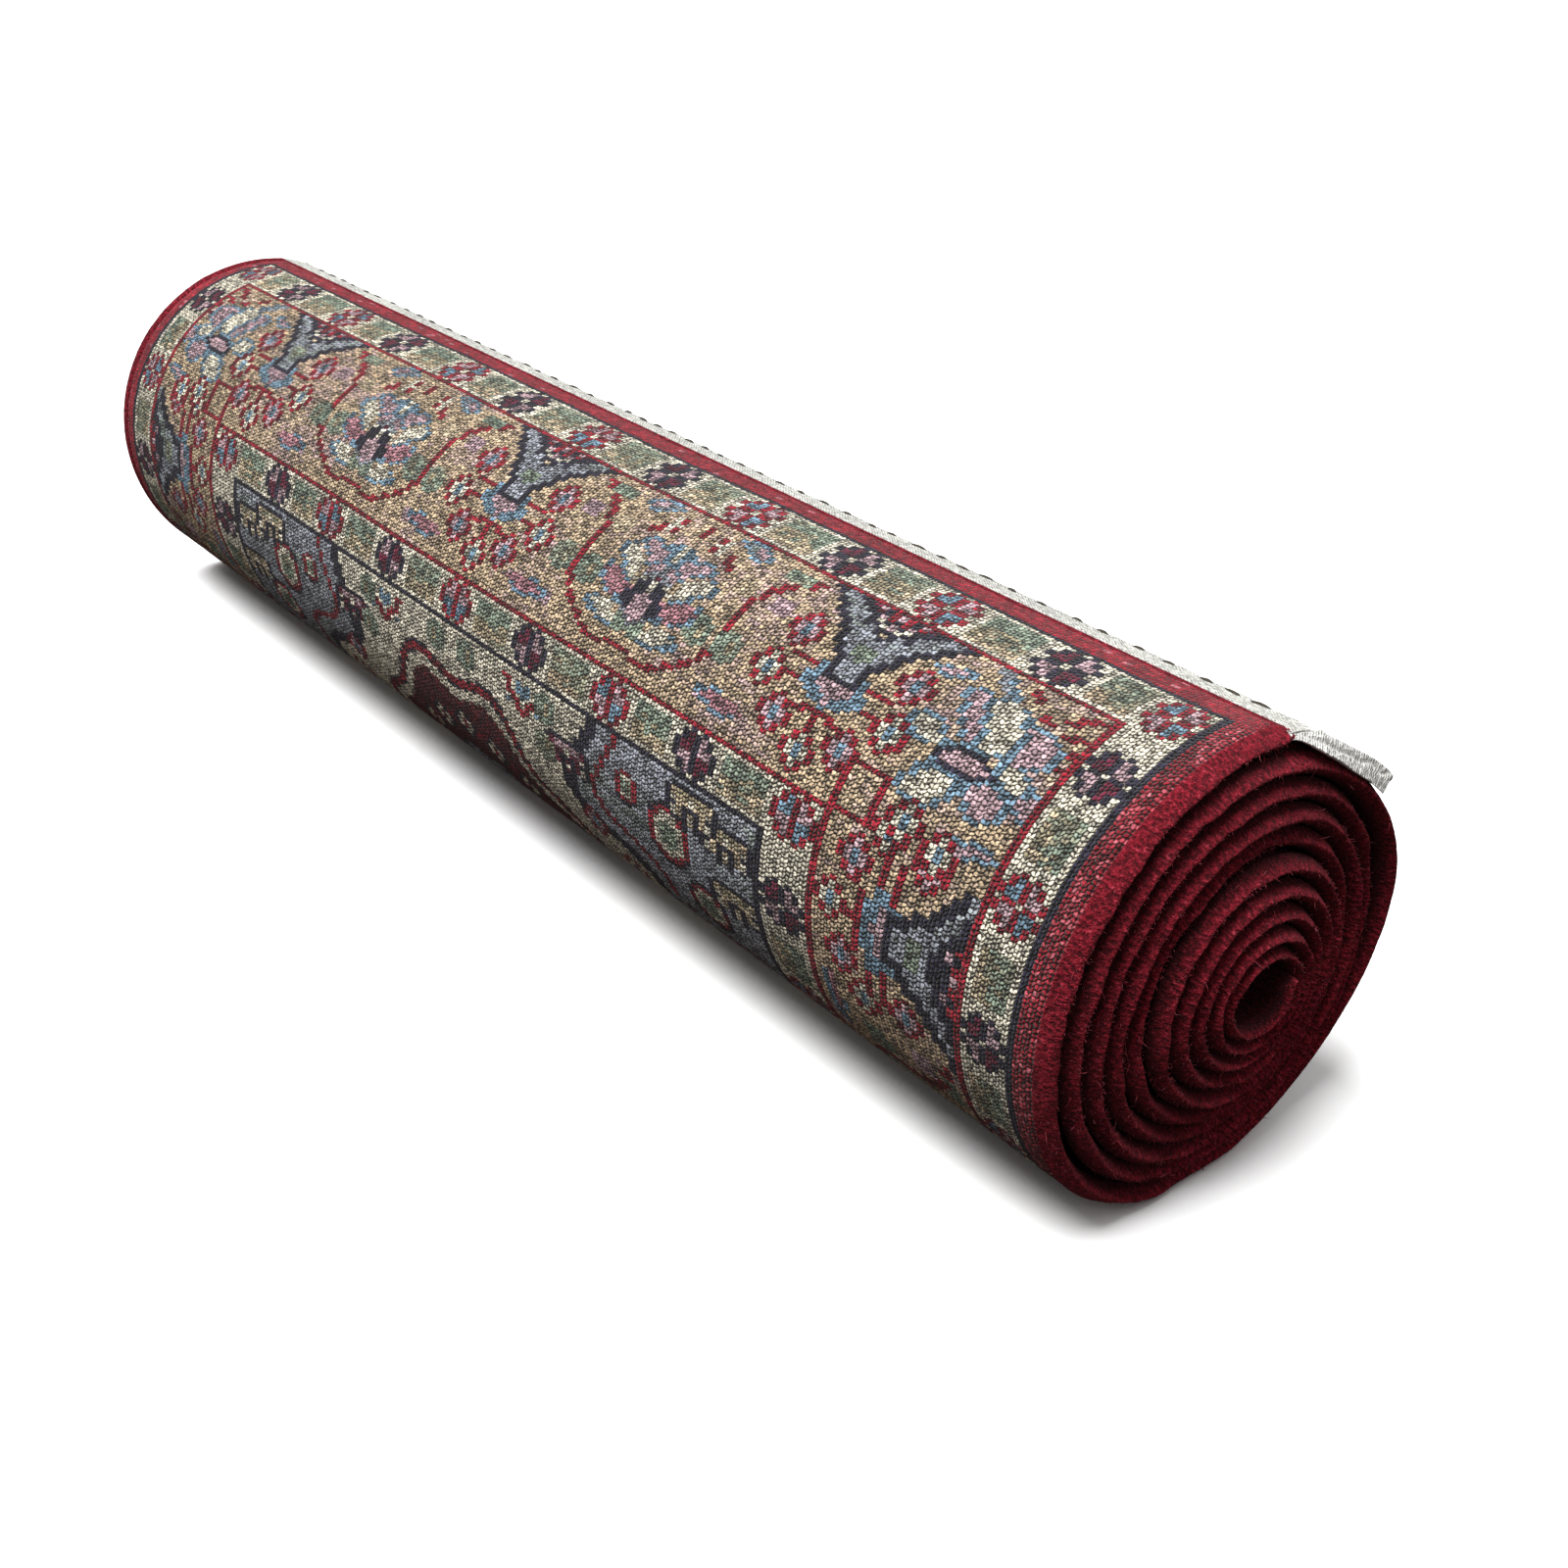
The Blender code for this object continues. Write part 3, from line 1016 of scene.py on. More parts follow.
# %% The red wool's material
EDGE_RED, EDGE_PAINTED_SHADE, EDGE_PALE = dye(152, 28, 46), dye(78, 10, 20), dye(196, 84, 100)
SHEEN_ROSE = dye(214, 120, 132)
STRAND_SCALE = (1 / 0.0015, 1 / 0.0032, 1.0)
PAINTED_GROOVE_SHADE_FROM, PAINTED_GROOVE_SHADE = 0.20, 0.20


def red_wool():
    """Felted red wool: strands lie across the edge, so a noise on the pile map is short
    along the cloth and long across it. Painted shade darkens its colour between its fibres
    and down in the grooves and round the hollow, and a few strands are paler."""
    material, tree, shader = new_material("red_wool", 0.95, 0.15, SHEEN_ROSE)
    pile = add_node(tree, "UVMap", uv_map="pile")
    long_way = add_node(tree, "VectorMath", pile, STRAND_SCALE, operation="MULTIPLY")
    strand = ramp(tree, noise(tree, long_way, 1.0, 3.0), 0.34, 0.66)
    fuzz = use_group(tree, WOOL_FUZZ, **{"Fibre Size": 0.0009, "Contrast": 0.30})
    height = sum_up(tree, "MULTIPLY", fuzz.outputs["Height"], 0.4)
    height = sum_up(tree, "MULTIPLY_ADD", strand, 0.6, height)
    # Painted shade: the red goes dark where the strands lie low, between the fibres.
    colour = mixed(tree, ramp(tree, height, 0.1, 0.9), EDGE_PAINTED_SHADE, EDGE_RED)
    colour = mixed(tree, ramp(tree, height, 0.80, 1.0, 0.0, 0.5), colour, EDGE_PALE)
    deep = add_node(tree, "Attribute", attribute_name="deep").node.outputs["Fac"]
    # Painted shade: the colour darkens down in the grooves and round the hollow.
    shade = ramp(tree, deep, PAINTED_GROOVE_SHADE_FROM, 1.0, 1.0, PAINTED_GROOVE_SHADE)
    shade = sum_up(tree, "MULTIPLY", shade, fuzz.outputs["Shade"])
    finished(tree, shader, multiplied(tree, colour, shade), height, 0.0010)
    return material


RED_WOOL = red_wool()

# %% The winding
STATION_STEP, END_TAPER, END_SHARE = 0.0021, 0.0060, 0.30
EDGE_ROUND, FAR_ROUND, EDGE_POINT = 0.0068, 0.0030, 1.45
EDGE_WOOL, BACK_BELOW = 0.0070, 0.0010
EDGE_LIFTS = np.array([0, 0.14, 0.30, 0.48, 0.66, 0.82, 0.94, 1.0])
HOLE_TURNS, HOLE_BLUNT = 1.3, 0.6
EDGE_ROUGH, EDGE_SLOW = 0.00055, 0.0008
CALM_AT, CALM_SPREAD, CALM_SHARE = 0.68, 0.26, 0.75


def rough_share(turn):
    """How rough the edge is: less on the outer turn's back, which was handled smooth."""
    return 1 - CALM_SHARE * np.exp(-((turn - CALM_AT) / CALM_SPREAD) ** 2)


def winding():
    """A ring of points at each station along the cloth. The edge is a soft point: at a
    share l of the half thickness, x = edge less depth l^1.45; soft noise roughens it.
    Past the edge wool the cloth is lower, to make room for the knots. At its two ends
    the cloth thins along a quarter round, and round the hollow the edge is blunter. The
    share l is returned too, as how deep in a groove a point lies, for all but the outer
    turn's back; the red wool paints shade into its colour by it."""
    turns, length = travelled(RUG_THICKNESS / 2)
    start = np.array([0, 0.0004, 0.0010, 0.0018, 0.0030, 0.0044])
    along = np.arange(END_TAPER, RUG_LENGTH - END_TAPER, STATION_STEP)
    along = np.concatenate([start, along, RUG_LENGTH - start[::-1]])
    turn = np.interp(along, length, turns)[:, None]
    from_end = np.minimum(along, RUG_LENGTH - along)[:, None]
    taper = np.sqrt(1 - (1 - np.clip(from_end / END_TAPER, 0, 1)) ** 2)
    thick = RUG_THICKNESS * (END_SHARE + (1 - END_SHARE) * taper)

    back = [EDGE_WOOL + 0.0001, EDGE_WOOL + 0.0012]
    near_inset, far_inset = (np.concatenate([depth * EDGE_LIFTS ** EDGE_POINT, back])
                             for depth in (EDGE_ROUND, FAR_ROUND))
    lift = np.concatenate([EDGE_LIFTS, [1, 1]])
    rim = np.concatenate([np.sqrt(1 - EDGE_LIFTS ** 2), [0, 0]])
    low = np.concatenate([0 * EDGE_LIFTS, [0, 1]])
    near_side, far_side = np.ones(len(lift)), np.zeros(len(lift))

    def ring(half, sign):
        """The upper half's values from the far rim to the near one, then the lower
        half's back to the first rim."""
        upper = np.concatenate([half[0], half[1][::-1]])
        return np.concatenate([upper, sign * upper[-2:0:-1]])[None, :]

    lift_ring, low_ring = ring((lift, lift), -1), ring((low, low), 0)
    inset_ring, share_ring = ring((far_inset, near_inset), 1), ring((far_side, near_side), 1)
    rim_ring = ring((-rim, rim), 1)
    count = lift_ring.shape[1]
    rough = smooth_noise((len(along), count), (len(along) // 3, 9), 3)
    rough = EDGE_ROUGH * (rough + 0.6 * smooth_noise((len(along), count), (len(along), count), 4))
    slow = EDGE_SLOW * smooth_noise((len(along), 1), (len(along) // 9, 1), 5)
    out = (rough + slow) * rough_share(turn) * np.abs(rim_ring)
    middle = spiral(turn) - thick / 2
    radius = middle + (thick / 2 + out) * lift_ring - BACK_BELOW * low_ring * taper
    inner = np.clip(turn - (TURNS - HOLE_TURNS), 0, 1) * (lift_ring < 0)
    inset_ring = inset_ring * (1 - HOLE_BLUNT * inner)
    x = (far_edge(turn) + inset_ring) * (1 - share_ring) + (near_edge(turn) - inset_ring) * share_ring
    # How far into a groove a point lies, for the red wool's painted shade.
    deep = (np.abs(lift_ring) + low_ring) * ((lift_ring < 0) | (turn > 1))
    return place(turn, radius, x + rim_ring * out), deep


def give_map(mesh, name, flat):
    """A UV map in metres, from a value pair for each vertex."""
    corner = np.empty(len(mesh.loops), dtype=int)
    mesh.loops.foreach_get("vertex_index", corner)
    mesh.uv_layers.new(name=name).data.foreach_set("uv", flat[corner].ravel())


def give_value(mesh, name, values):
    """An attribute with one number for each vertex."""
    mesh.attributes.new(name, "FLOAT", "POINT").data.foreach_set("value", values.ravel())


def pile_map(grid):
    """Each point's length along the cloth, and its length round the ring from the first
    rim, the same above and below."""
    rows, count = grid.shape[:2]
    round_it = np.linalg.norm(np.diff(grid[:, :count // 2 + 1], axis=1), axis=2)
    round_it = np.concatenate([np.zeros((rows, 1)), np.cumsum(round_it, axis=1)], axis=1)
    round_it = np.concatenate([round_it, round_it[:, -2:0:-1]], axis=1)
    step = np.linalg.norm(np.diff(grid[:, 0], axis=0), axis=1)
    along = np.concatenate([[0], np.cumsum(step)])[:, None]
    return np.stack(np.broadcast_arrays(along, round_it), axis=-1).reshape(-1, 2)


winding_grid, winding_groove_painted_shade = winding()
rug_winding = add_piece("rug_winding", *closed_loft(winding_grid), RED_WOOL)
give_map(rug_winding.data, "pile", pile_map(winding_grid))
# The groove share drives the painted shade in the red wool.
give_value(rug_winding.data, "deep", winding_groove_painted_shade)
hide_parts("rug_roll")

# %% [markdown]
# ## The knotted back
# Each knot is one quad of the outer turn's skin, coloured by the pattern. Real wool is
# dyed in small lots, so each wool drifts in tone from row to row, and each knot differs
# a little from the next. The shader adds what is smaller than a knot, in the knot's own
# coordinates: two bumps side by side on a slant, and painted shade that darkens the gap
# round them.

# %% The knots' group
BEAD_SLANT, ROW_LEAN = 0.40, 0.55
BEAD_SIZE, SIZE_SWING = 0.48, 0.20
BEAD_TONE, TONE_SWING = 0.62, 0.95
STRAY_SCALE, STRAY_REACH = 1.1, (0.55, 1.1, 0.0)
# Painted shade in the gaps between the beads.
PAINTED_GAP_SHADE = (0.055, 0.042, 0.038, 1)
SPECK_ROSE = dye(204, 132, 142)


def knot_group():
    """Colour and Height of one knot from its place in it. The UV map counts knots along
    and rows down. A row leans up by half its height over a knot. Each knot is two beads,
    and a bead is a round hill, 1 at its top and 0 at r = 1, where r^2 = a^2 + d^2 for
    shares a across and d down of its half size; between beads the colour is darkened with
    painted shade. The two beads slant against each other, like a chevron. A speck above 0
    is the share of pale fluff on a bead, and one below 0 how far the knots are felted to a
    smooth red, with less painted shade in the gaps."""
    group, given, made = new_group(
        "knot", {"Dye": "Color", "Speck": "Float"}, {"Colour": "Color", "Height": "Float"})
    knots = add_node(group, "UVMap", uv_map="knots")
    stray = noise(group, knots, STRAY_SCALE).node.outputs["Color"]
    stray = add_node(group, "VectorMath", stray, (0.5, 0.5, 0.5), operation="SUBTRACT")
    stray = add_node(group, "VectorMath", stray, STRAY_REACH, operation="MULTIPLY")
    stray = add_node(group, "VectorMath", knots, stray, operation="ADD")
    knot_x, row_y, _ = add_node(group, "SeparateXYZ", stray).node.outputs
    beads = sum_up(group, "MULTIPLY", knot_x, 2.0)
    aside = sum_up(group, "SUBTRACT", sum_up(group, "FRACT", knot_x), 0.5)
    rows = sum_up(group, "MULTIPLY_ADD", aside, ROW_LEAN, row_y)
    across = sum_up(group, "SUBTRACT", sum_up(group, "FRACT", beads), 0.5)
    down = sum_up(group, "SUBTRACT", sum_up(group, "FRACT", rows), 0.5)
    number = add_node(group, "CombineXYZ", sum_up(group, "FLOOR", beads), sum_up(group, "FLOOR", rows))
    chance = add_node(group, "TexWhiteNoise", number)
    size = sum_up(group, "MULTIPLY_ADD", chance, SIZE_SWING, BEAD_SIZE)
    slant = sum_up(group, "MULTIPLY", sum_up(group, "SIGN", aside), BEAD_SLANT)
    across = sum_up(group, "MULTIPLY_ADD", down, slant, across)
    across = sum_up(group, "DIVIDE", across, size)
    down = sum_up(group, "DIVIDE", down, size)
    far = sum_up(group, "MULTIPLY_ADD", across, across, sum_up(group, "MULTIPLY", down, down))
    far = sum_up(group, "SQRT", far)
    height = ramp(group, far, 0.30, 1.10, 1.0, 0.0)
    gap = ramp(group, height, 0.05, 0.85, 0.0, 1.0)
    felted = sum_up(group, "MULTIPLY", given.outputs["Speck"], -1.0)
    gap = sum_up(group, "MAXIMUM", gap, felted)
    tone = sum_up(group, "MULTIPLY_ADD", chance, TONE_SWING, BEAD_TONE)
    tone = sum_up(group, "MAXIMUM", tone, felted)
    # Painted shade: the colour is darkened in the gaps between the beads.
    gap_painted_shade = mixed(group, gap, PAINTED_GAP_SHADE, (1, 1, 1, 1))
    pale = sum_up(group, "MULTIPLY", ramp(group, height, 0.60, 0.95), ramp(group, chance, 0.50, 1.0))
    pale = sum_up(group, "MULTIPLY", pale, given.outputs["Speck"])
    colour = mixed(group, pale, given.outputs["Dye"], SPECK_ROSE)
    colour = multiplied(group, mixed(group, 1.0, colour, gap_painted_shade, blend="MULTIPLY"), tone)
    group.links.new(colour, made.inputs["Colour"])
    group.links.new(height, made.inputs["Height"])
    return group


KNOT = knot_group()

# %% The knots' material


def knotted_wool():
    """The knots' own colour and height, with the fuzz of their wool."""
    material, tree, shader = new_material("knotted_wool", 0.92, 0.15)
    dyed = add_node(tree, "Attribute", attribute_name="dye")
    knot = use_group(tree, KNOT, Dye=dyed, Speck=dyed.node.outputs["Alpha"])
    fuzz = use_group(tree, WOOL_FUZZ, **{"Fibre Size": 0.0007, "Contrast": 0.22})
    colour = multiplied(tree, knot.outputs["Colour"], fuzz.outputs["Shade"])
    height = sum_up(tree, "MULTIPLY_ADD", fuzz.outputs["Height"], 0.25, knot.outputs["Height"])
    finished(tree, shader, colour, height, 0.0012)
    return material


KNOTTED_WOOL = knotted_wool()

# %% The knots' places
OUTER_COLUMNS, OUTER_WIDTH = 11, 0.00325
LINE_WIDTH = 0.0036
COLUMN_WANDER, ROW_WANDER, BACK_LUMPS = 0.0006, 0.0009, 0.00018


def column_lines():
    """Each line between two columns as a share of the rug's width. The knots beside the
    edge were packed closer, as on the real rug, and the rest share what is left."""
    half = COLUMNS / 2
    left = RUG_WIDTH / 2 - EDGE_WOOL - OUTER_COLUMNS * OUTER_WIDTH - LINE_WIDTH
    width = np.full(COLUMNS, left / (half - OUTER_COLUMNS - 1))
    width[:OUTER_COLUMNS] = width[-OUTER_COLUMNS:] = OUTER_WIDTH
    width[OUTER_COLUMNS] = width[-OUTER_COLUMNS - 1] = LINE_WIDTH
    lines = EDGE_WOOL + np.concatenate([[0], np.cumsum(width)])
    return lines / RUG_WIDTH


def back_grid():
    """Points where the knots meet: rows follow the spiral from the free end, columns
    run at their share of the width, and both wander a little, as hand work does."""
    shape = (ROWS + 1, COLUMNS + 1)
    turns, length = travelled(0.0)
    fade = np.clip(np.minimum(np.arange(shape[0]), ROWS - np.arange(shape[0])) / 6, 0, 1)
    arc = np.arange(shape[0])[:, None] * ROW_HEIGHT
    arc = arc + ROW_WANDER * fade[:, None] * smooth_noise(shape, (6, 9), 11)
    turn = np.interp(arc, length, turns)
    share = column_lines()[None, :]
    x = far_edge(turn) * (1 - share) + near_edge(turn) * share
    aside = np.minimum(np.arange(shape[1]), COLUMNS - np.arange(shape[1]))[None, :]
    x = x + COLUMN_WANDER * np.clip(aside / 3, 0, 1) * smooth_noise(shape, (9, 30), 12)
    lumps = smooth_noise(shape, (ROWS // 2, COLUMNS // 2), 13)
    radius = spiral(turn) + BACK_LUMPS * (lumps - 1)
    radius = radius - BACK_BELOW * ((aside == 0) + (1 - fade[:, None]) * 0.5)
    return place(turn, radius, x)


RAN_INTO = {"c": "m", "t": "c", "l": "e", "e": "l", "g": "e"}
NEXT_LOT = DYES[[wool(RAN_INTO.get(letter, letter)) for letter in LETTERS]]
ROW_DRIFT, KNOT_DRIFT = 0.11, 0.17
SPECKS, FELTED = (0.15, 0.75), -0.75
FLUFF_SHARE, FLUFF = 0.02, linear((205, 120, 130))


def knot_dyes():
    """Red, green, blue and speck for each knot: its wool's dye, drifting by row towards
    the next lot of wool, with each knot a little lighter or darker. The plain red band
    is specked along the near side, and felted with a few knots of pale fluff along the
    free end and the far side."""
    random = np.random.default_rng(21)
    drift = np.stack([smooth_noise((ROWS, COLUMNS), (26, 3), 30 + k) for k in range(len(DYES))])
    rows, columns = np.mgrid[:ROWS, :COLUMNS]
    tone = 1 + ROW_DRIFT * drift[PATTERN, rows, columns]
    tone = tone * (1 + KNOT_DRIFT * random.standard_normal(PATTERN.shape))
    lot = smooth_noise(PATTERN.shape, (34, 16), 22) + 0.5 * smooth_noise(PATTERN.shape, (140, 60), 23)
    lot = np.clip(0.55 * lot + 0.22 * random.standard_normal(PATTERN.shape), 0, 0.75)[..., None]
    colour = DYES[PATTERN] * (1 - lot) + NEXT_LOT[PATTERN] * lot
    colour = colour * np.clip(tone, 0.5, 1.5)[..., None]
    speck = np.zeros(PATTERN.shape)
    side = np.minimum(columns, COLUMNS - 1 - columns) < SIDE_KNOTS[0]
    speck[side] = random.uniform(*SPECKS, side.sum())
    speck[:END_ROWS[0]] = speck[:, :SIDE_KNOTS[0]] = FELTED
    fluff = (random.uniform(0, 1, PATTERN.shape) < FLUFF_SHARE) & (speck < 0)
    colour[fluff] = FLUFF
    return np.concatenate([colour, speck[..., None]], axis=-1)


# %% The knotted back
back_points = back_grid()
back_faces = grid_faces(ROWS + 1, COLUMNS + 1)
normal = np.cross(back_points[1, 0] - back_points[0, 0], back_points[0, 1] - back_points[0, 0])
if normal[2] > 0:
    back_faces = back_faces[:, ::-1]
rug_back = add_piece("knotted_back", back_points.reshape(-1, 3), back_faces.tolist(), KNOTTED_WOOL)


def give_knots(mesh, faces):
    """Give each corner of a quad its knot's dye, and its own knot and row number."""
    dyes = np.repeat(knot_dyes().reshape(-1, 4), 4, axis=0)
    attribute = mesh.attributes.new("dye", "FLOAT_COLOR", "CORNER")
    attribute.data.foreach_set("color", dyes.ravel())
    corner = faces.reshape(-1)
    uv = np.stack([corner % (COLUMNS + 1), corner // (COLUMNS + 1)], axis=-1).astype(float)
    mesh.uv_layers.new(name="knots").data.foreach_set("uv", uv.ravel())


give_knots(rug_back.data, back_faces)

# %% [markdown]
# ## The flat-woven end
# Past the last row of knots the rug ends in a plain cotton weave. It is turned under
# and held by a row of stitches. It leaves the knots level with them, steps down to the
# turn below and lies along it, and its near corner curls up. As on the solid, the path
# is followed by its length from the free end, here with both layers and the fold.

# %% The cotton's material
WARP_TURN, WEFT_TURN = 3300.0, 3900.0
WANDER_SCALE, WANDER_TURN = 90.0, 5.0


def cotton(name, hollow_painted_shade, crown):
    """Plain weave: a sine along the warp times one along the weft, both led astray by a
    noise, with painted shade that makes it greyer in the hollows."""
    material, tree, shader = new_material(name, 0.9, 0.1)
    threads = add_node(tree, "UVMap", uv_map="weave")
    wander = sum_up(tree, "SUBTRACT", noise(tree, threads, WANDER_SCALE), 0.5)
    wander = sum_up(tree, "MULTIPLY", wander, WANDER_TURN)
    x, length, _ = add_node(tree, "SeparateXYZ", threads).node.outputs
    warp = sum_up(tree, "SINE", sum_up(tree, "MULTIPLY_ADD", x, WARP_TURN, wander))
    weft = sum_up(tree, "SINE", sum_up(tree, "MULTIPLY_ADD", length, WEFT_TURN, wander))
    weave = sum_up(tree, "MULTIPLY_ADD", sum_up(tree, "MULTIPLY", warp, weft), 0.5, 0.5)
    fuzz = use_group(tree, WOOL_FUZZ, **{"Fibre Size": 0.0020, "Contrast": 0.25})
    height = sum_up(tree, "MULTIPLY_ADD", fuzz.outputs["Height"], 0.9, weave)
    # Painted shade: the colour goes grey in the weave's hollows.
    colour = mixed(tree, ramp(tree, height, 0.2, 1.2), dye(*hollow_painted_shade), dye(*crown))
    finished(tree, shader, multiplied(tree, colour, fuzz.outputs["Shade"]), height, 0.0005)
    return material


COTTON = cotton("white_cotton", (158, 160, 153), (234, 234, 227))
# A lighter copy of the white cotton, with painted light, for the side folds that face away from the sun.
FOLD_COTTON_PAINTED_LIGHT = cotton("fold_cotton_painted_light", (232, 232, 226), (254, 254, 250))

# %% The path of the cotton end
KILIM_THICKNESS, KILIM_LENGTH, KILIM_MARGIN = 0.0028, 0.070, 0.0012
KILIM_LANDS, KILIM_WAVE = math.radians(27), 0.0018
TIP_LIFT, TIP_LENGTH, TIP_FROM, TIP_REACH = 0.0042, 0.070, 0.15, 0.0060
WELT_AT, WELT_HEIGHT, WELT_SPREAD = 0.0160, 0.0011, 0.0030
CLEARANCE, LAYER, TURNED_UNDER = 0.0003, 0.0011, 0.058
FOLD_ROUND, ROOT_IN, ROOT_DROP, ROOT_SPREAD = 0.00075, 0.0012, 0.0006, 0.004
RAGGED, COTTON_LUMPS, COTTON_STEPS = 0.0007, 0.00020, 340


def cotton_radius(back):
    """The radius under the cotton this far back from the free end, and that of the turn
    below it: an S from the one level to the other."""
    angle_back = (CLEARANCE + back) / START_RADIUS
    drop = np.clip(angle_back / KILIM_LANDS, 0, 1)
    drop = drop ** 2 * (3 - 2 * drop)
    below = spiral(1 - np.maximum(angle_back, 0) / (2 * np.pi)) + CLEARANCE
    return (START_RADIUS - KILIM_THICKNESS) * (1 - drop) + below * drop, below


def tip_curl(out):
    """How far the near corner curls up, by the share of the way to the fold."""
    return TIP_LIFT * np.clip((out - TIP_FROM) / (1 - TIP_FROM), 0, 1) ** 1.2


def welt(back):
    """The low roll of the cloth over its turned-under edge, a bell curve."""
    return WELT_HEIGHT * np.exp(-((back - WELT_AT) / WELT_SPREAD) ** 2)


def cotton_place(x_share, back, lift, out):
    """A point of the cotton end: x by its share of the width, the length back from the
    free end, its lift over the layer below, and out, its share of the way to the fold."""
    base, below = cotton_radius(back)
    x = (far_edge(0.0) + KILIM_MARGIN) * (1 - x_share) + (near_edge(0.0) - KILIM_MARGIN) * x_share
    near_tip = np.exp(-((near_edge(0.0) - KILIM_MARGIN - x) / TIP_LENGTH) ** 2)
    radius = base + tip_curl(out) * near_tip + lift
    angle = FREE_END - (CLEARANCE + back) / START_RADIUS
    return round_axis(x + TIP_REACH * near_tip * out ** 2, angle, radius)


def cotton_end():
    """Rings along x. Each ring goes out over the upper layer, round the fold and back
    along the lower one, a line in length and lift with half a layer to each side."""
    share = np.linspace(0, 1, COTTON_STEPS + 1)[:, None]
    wave = np.sin(9.0 * share + 0.4) + 0.6 * np.sin(23.0 * share + 1.7)
    ragged = RAGGED * smooth_noise((COTTON_STEPS + 1, 1), (120, 1), 41)
    fold_at = KILIM_LENGTH + KILIM_WAVE * wave + ragged - FOLD_ROUND - LAYER / 2
    high, low = KILIM_THICKNESS - LAYER / 2, LAYER / 2
    upper, bend, lower = np.linspace(0, 1, 30), np.linspace(0, np.pi, 7)[1:-1], np.linspace(0, 1, 20)
    middle, half_gap = (high + low) / 2, (high - low) / 2
    back = np.concatenate([
        -ROOT_IN + upper * (fold_at + ROOT_IN),
        fold_at + FOLD_ROUND * np.sin(bend)[None, :],
        fold_at - lower[None, :] * TURNED_UNDER], axis=1)
    lift = np.concatenate([
        high - ROOT_DROP * np.exp(-(upper * KILIM_LENGTH / ROOT_SPREAD) ** 2),
        middle + half_gap * np.cos(bend),
        low + 0.0001 * lower])[None, :] + 0 * back
    lift = lift + COTTON_LUMPS * smooth_noise(back.shape, (230, 24), 42) + welt(back)
    step_back, step_up = np.gradient(back, axis=1), np.gradient(lift, axis=1)
    size = np.hypot(step_back, step_up)
    side_back, side_up = -step_up / size * LAYER / 2, step_back / size * LAYER / 2
    out = np.clip(back / fold_at, 0, 1)
    outside = cotton_place(share, back + side_back, lift + side_up, out)
    inside = cotton_place(share, back - side_back, lift - side_up, out)
    rim_start = (outside[:, :1] + inside[:, :1]) / 2
    rim_end = (outside[:, -1:] + inside[:, -1:]) / 2
    return np.concatenate([rim_start, outside, rim_end, inside[:, ::-1]], axis=1)


def weave_map(grid):
    """Each point's x along the roll, and the length round the cloth's section."""
    step = np.linalg.norm(np.diff(grid, axis=1), axis=2)
    length = np.concatenate([np.zeros((len(grid), 1)), np.cumsum(step, axis=1)], axis=1)
    return np.stack([grid[..., 0], length], axis=-1)


cotton_grid = cotton_end()
white_end = add_piece("white_end", *closed_loft(cotton_grid), COTTON)
give_map(white_end.data, "weave", weave_map(cotton_grid).reshape(-1, 2))
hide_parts("kilim_end")

# %% [markdown]
# ## The side folds of the white end
# At each side the cotton is turned over in a soft fold. At the near end the fold slopes
# out and down over the rounded edge of the turn below, in two rolls with a crack between
# them, and it ends on a slant. At the far end it is short, because nothing lies under it.

# %% The side folds
FOLD_STEPS, FOLD_TOP, FOLD_UNDER = 120, 41, 9
FOLD_FROM, FOLD_PAST, FOLD_OPENS = -0.0015, 0.0022, 0.3
FOLD_INNER, FOLD_REACH, FOLD_FALL, FOLD_SLANT = 0.0040, 0.0015, 0.0032, 0.0060
FOLD_ROLL, FOLD_CRACK, CRACK_SWAY, CRACK_WIDTH = 0.0009, 0.64, 0.10, 0.05
FOLD_THICK, FOLD_SUNK, START_SUNK, FOLD_LUMPS = 0.0009, 0.0004, 0.0008, 0.00025


def side_fold(near, seed):
    """Rings along the path. Over the top a share goes from 0 at the inner edge to 1 at
    the outer one, level on the cotton and then down a straight slope, raised but for a
    bell-shaped crack between its two rolls. Underneath the ring runs back."""
    s = np.linspace(0, 1, FOLD_STEPS)[:, None]
    share = np.concatenate([np.linspace(0, 1, FOLD_TOP), np.linspace(1, 0, FOLD_UNDER + 2)[1:-1]])
    share, upper = share[None, :], (np.arange(len(share)) < FOLD_TOP)[None, :]
    crack = FOLD_CRACK + CRACK_SWAY * smooth_noise((FOLD_STEPS, 1), (9, 1), seed)
    roll = FOLD_ROLL * (1 - np.exp(-((share - crack) / CRACK_WIDTH) ** 2))
    roll = roll + FOLD_LUMPS * smooth_noise((FOLD_STEPS, share.shape[1]), (50, 14), seed + 1)
    back = FOLD_FROM + s * (KILIM_LENGTH + FOLD_PAST - FOLD_SLANT * share)
    rim = near_edge(1 - (CLEARANCE + back) / START_RADIUS / (2 * np.pi)) - near_edge(0.0)
    opening = np.clip(s / FOLD_OPENS, 0, 1)
    opening = opening ** 2 * (3 - 2 * opening)
    roll = roll * (0.2 + 0.8 * opening)
    reach, fall = FOLD_REACH + 0 * s, 0.0
    if near:
        reach = reach + rim * opening - TIP_REACH * s ** 2
        fall = FOLD_FALL * opening + tip_curl(s)
    top = KILIM_THICKNESS + welt(back) - FOLD_SUNK - START_SUNK * (1 - opening)
    slope_out = -FOLD_INNER + (reach + FOLD_INNER) * share
    slope_up = top - (top + fall) * np.clip(slope_out / reach, 0, 1)
    lift = slope_up + np.where(upper, roll, -FOLD_THICK)
    grid = cotton_place(1.0 if near else 0.0, back, lift, s + 0 * share)
    grid[..., 0] += (slope_out + 0.5 * np.where(upper, roll, 0)) * (1 if near else -1)
    return grid


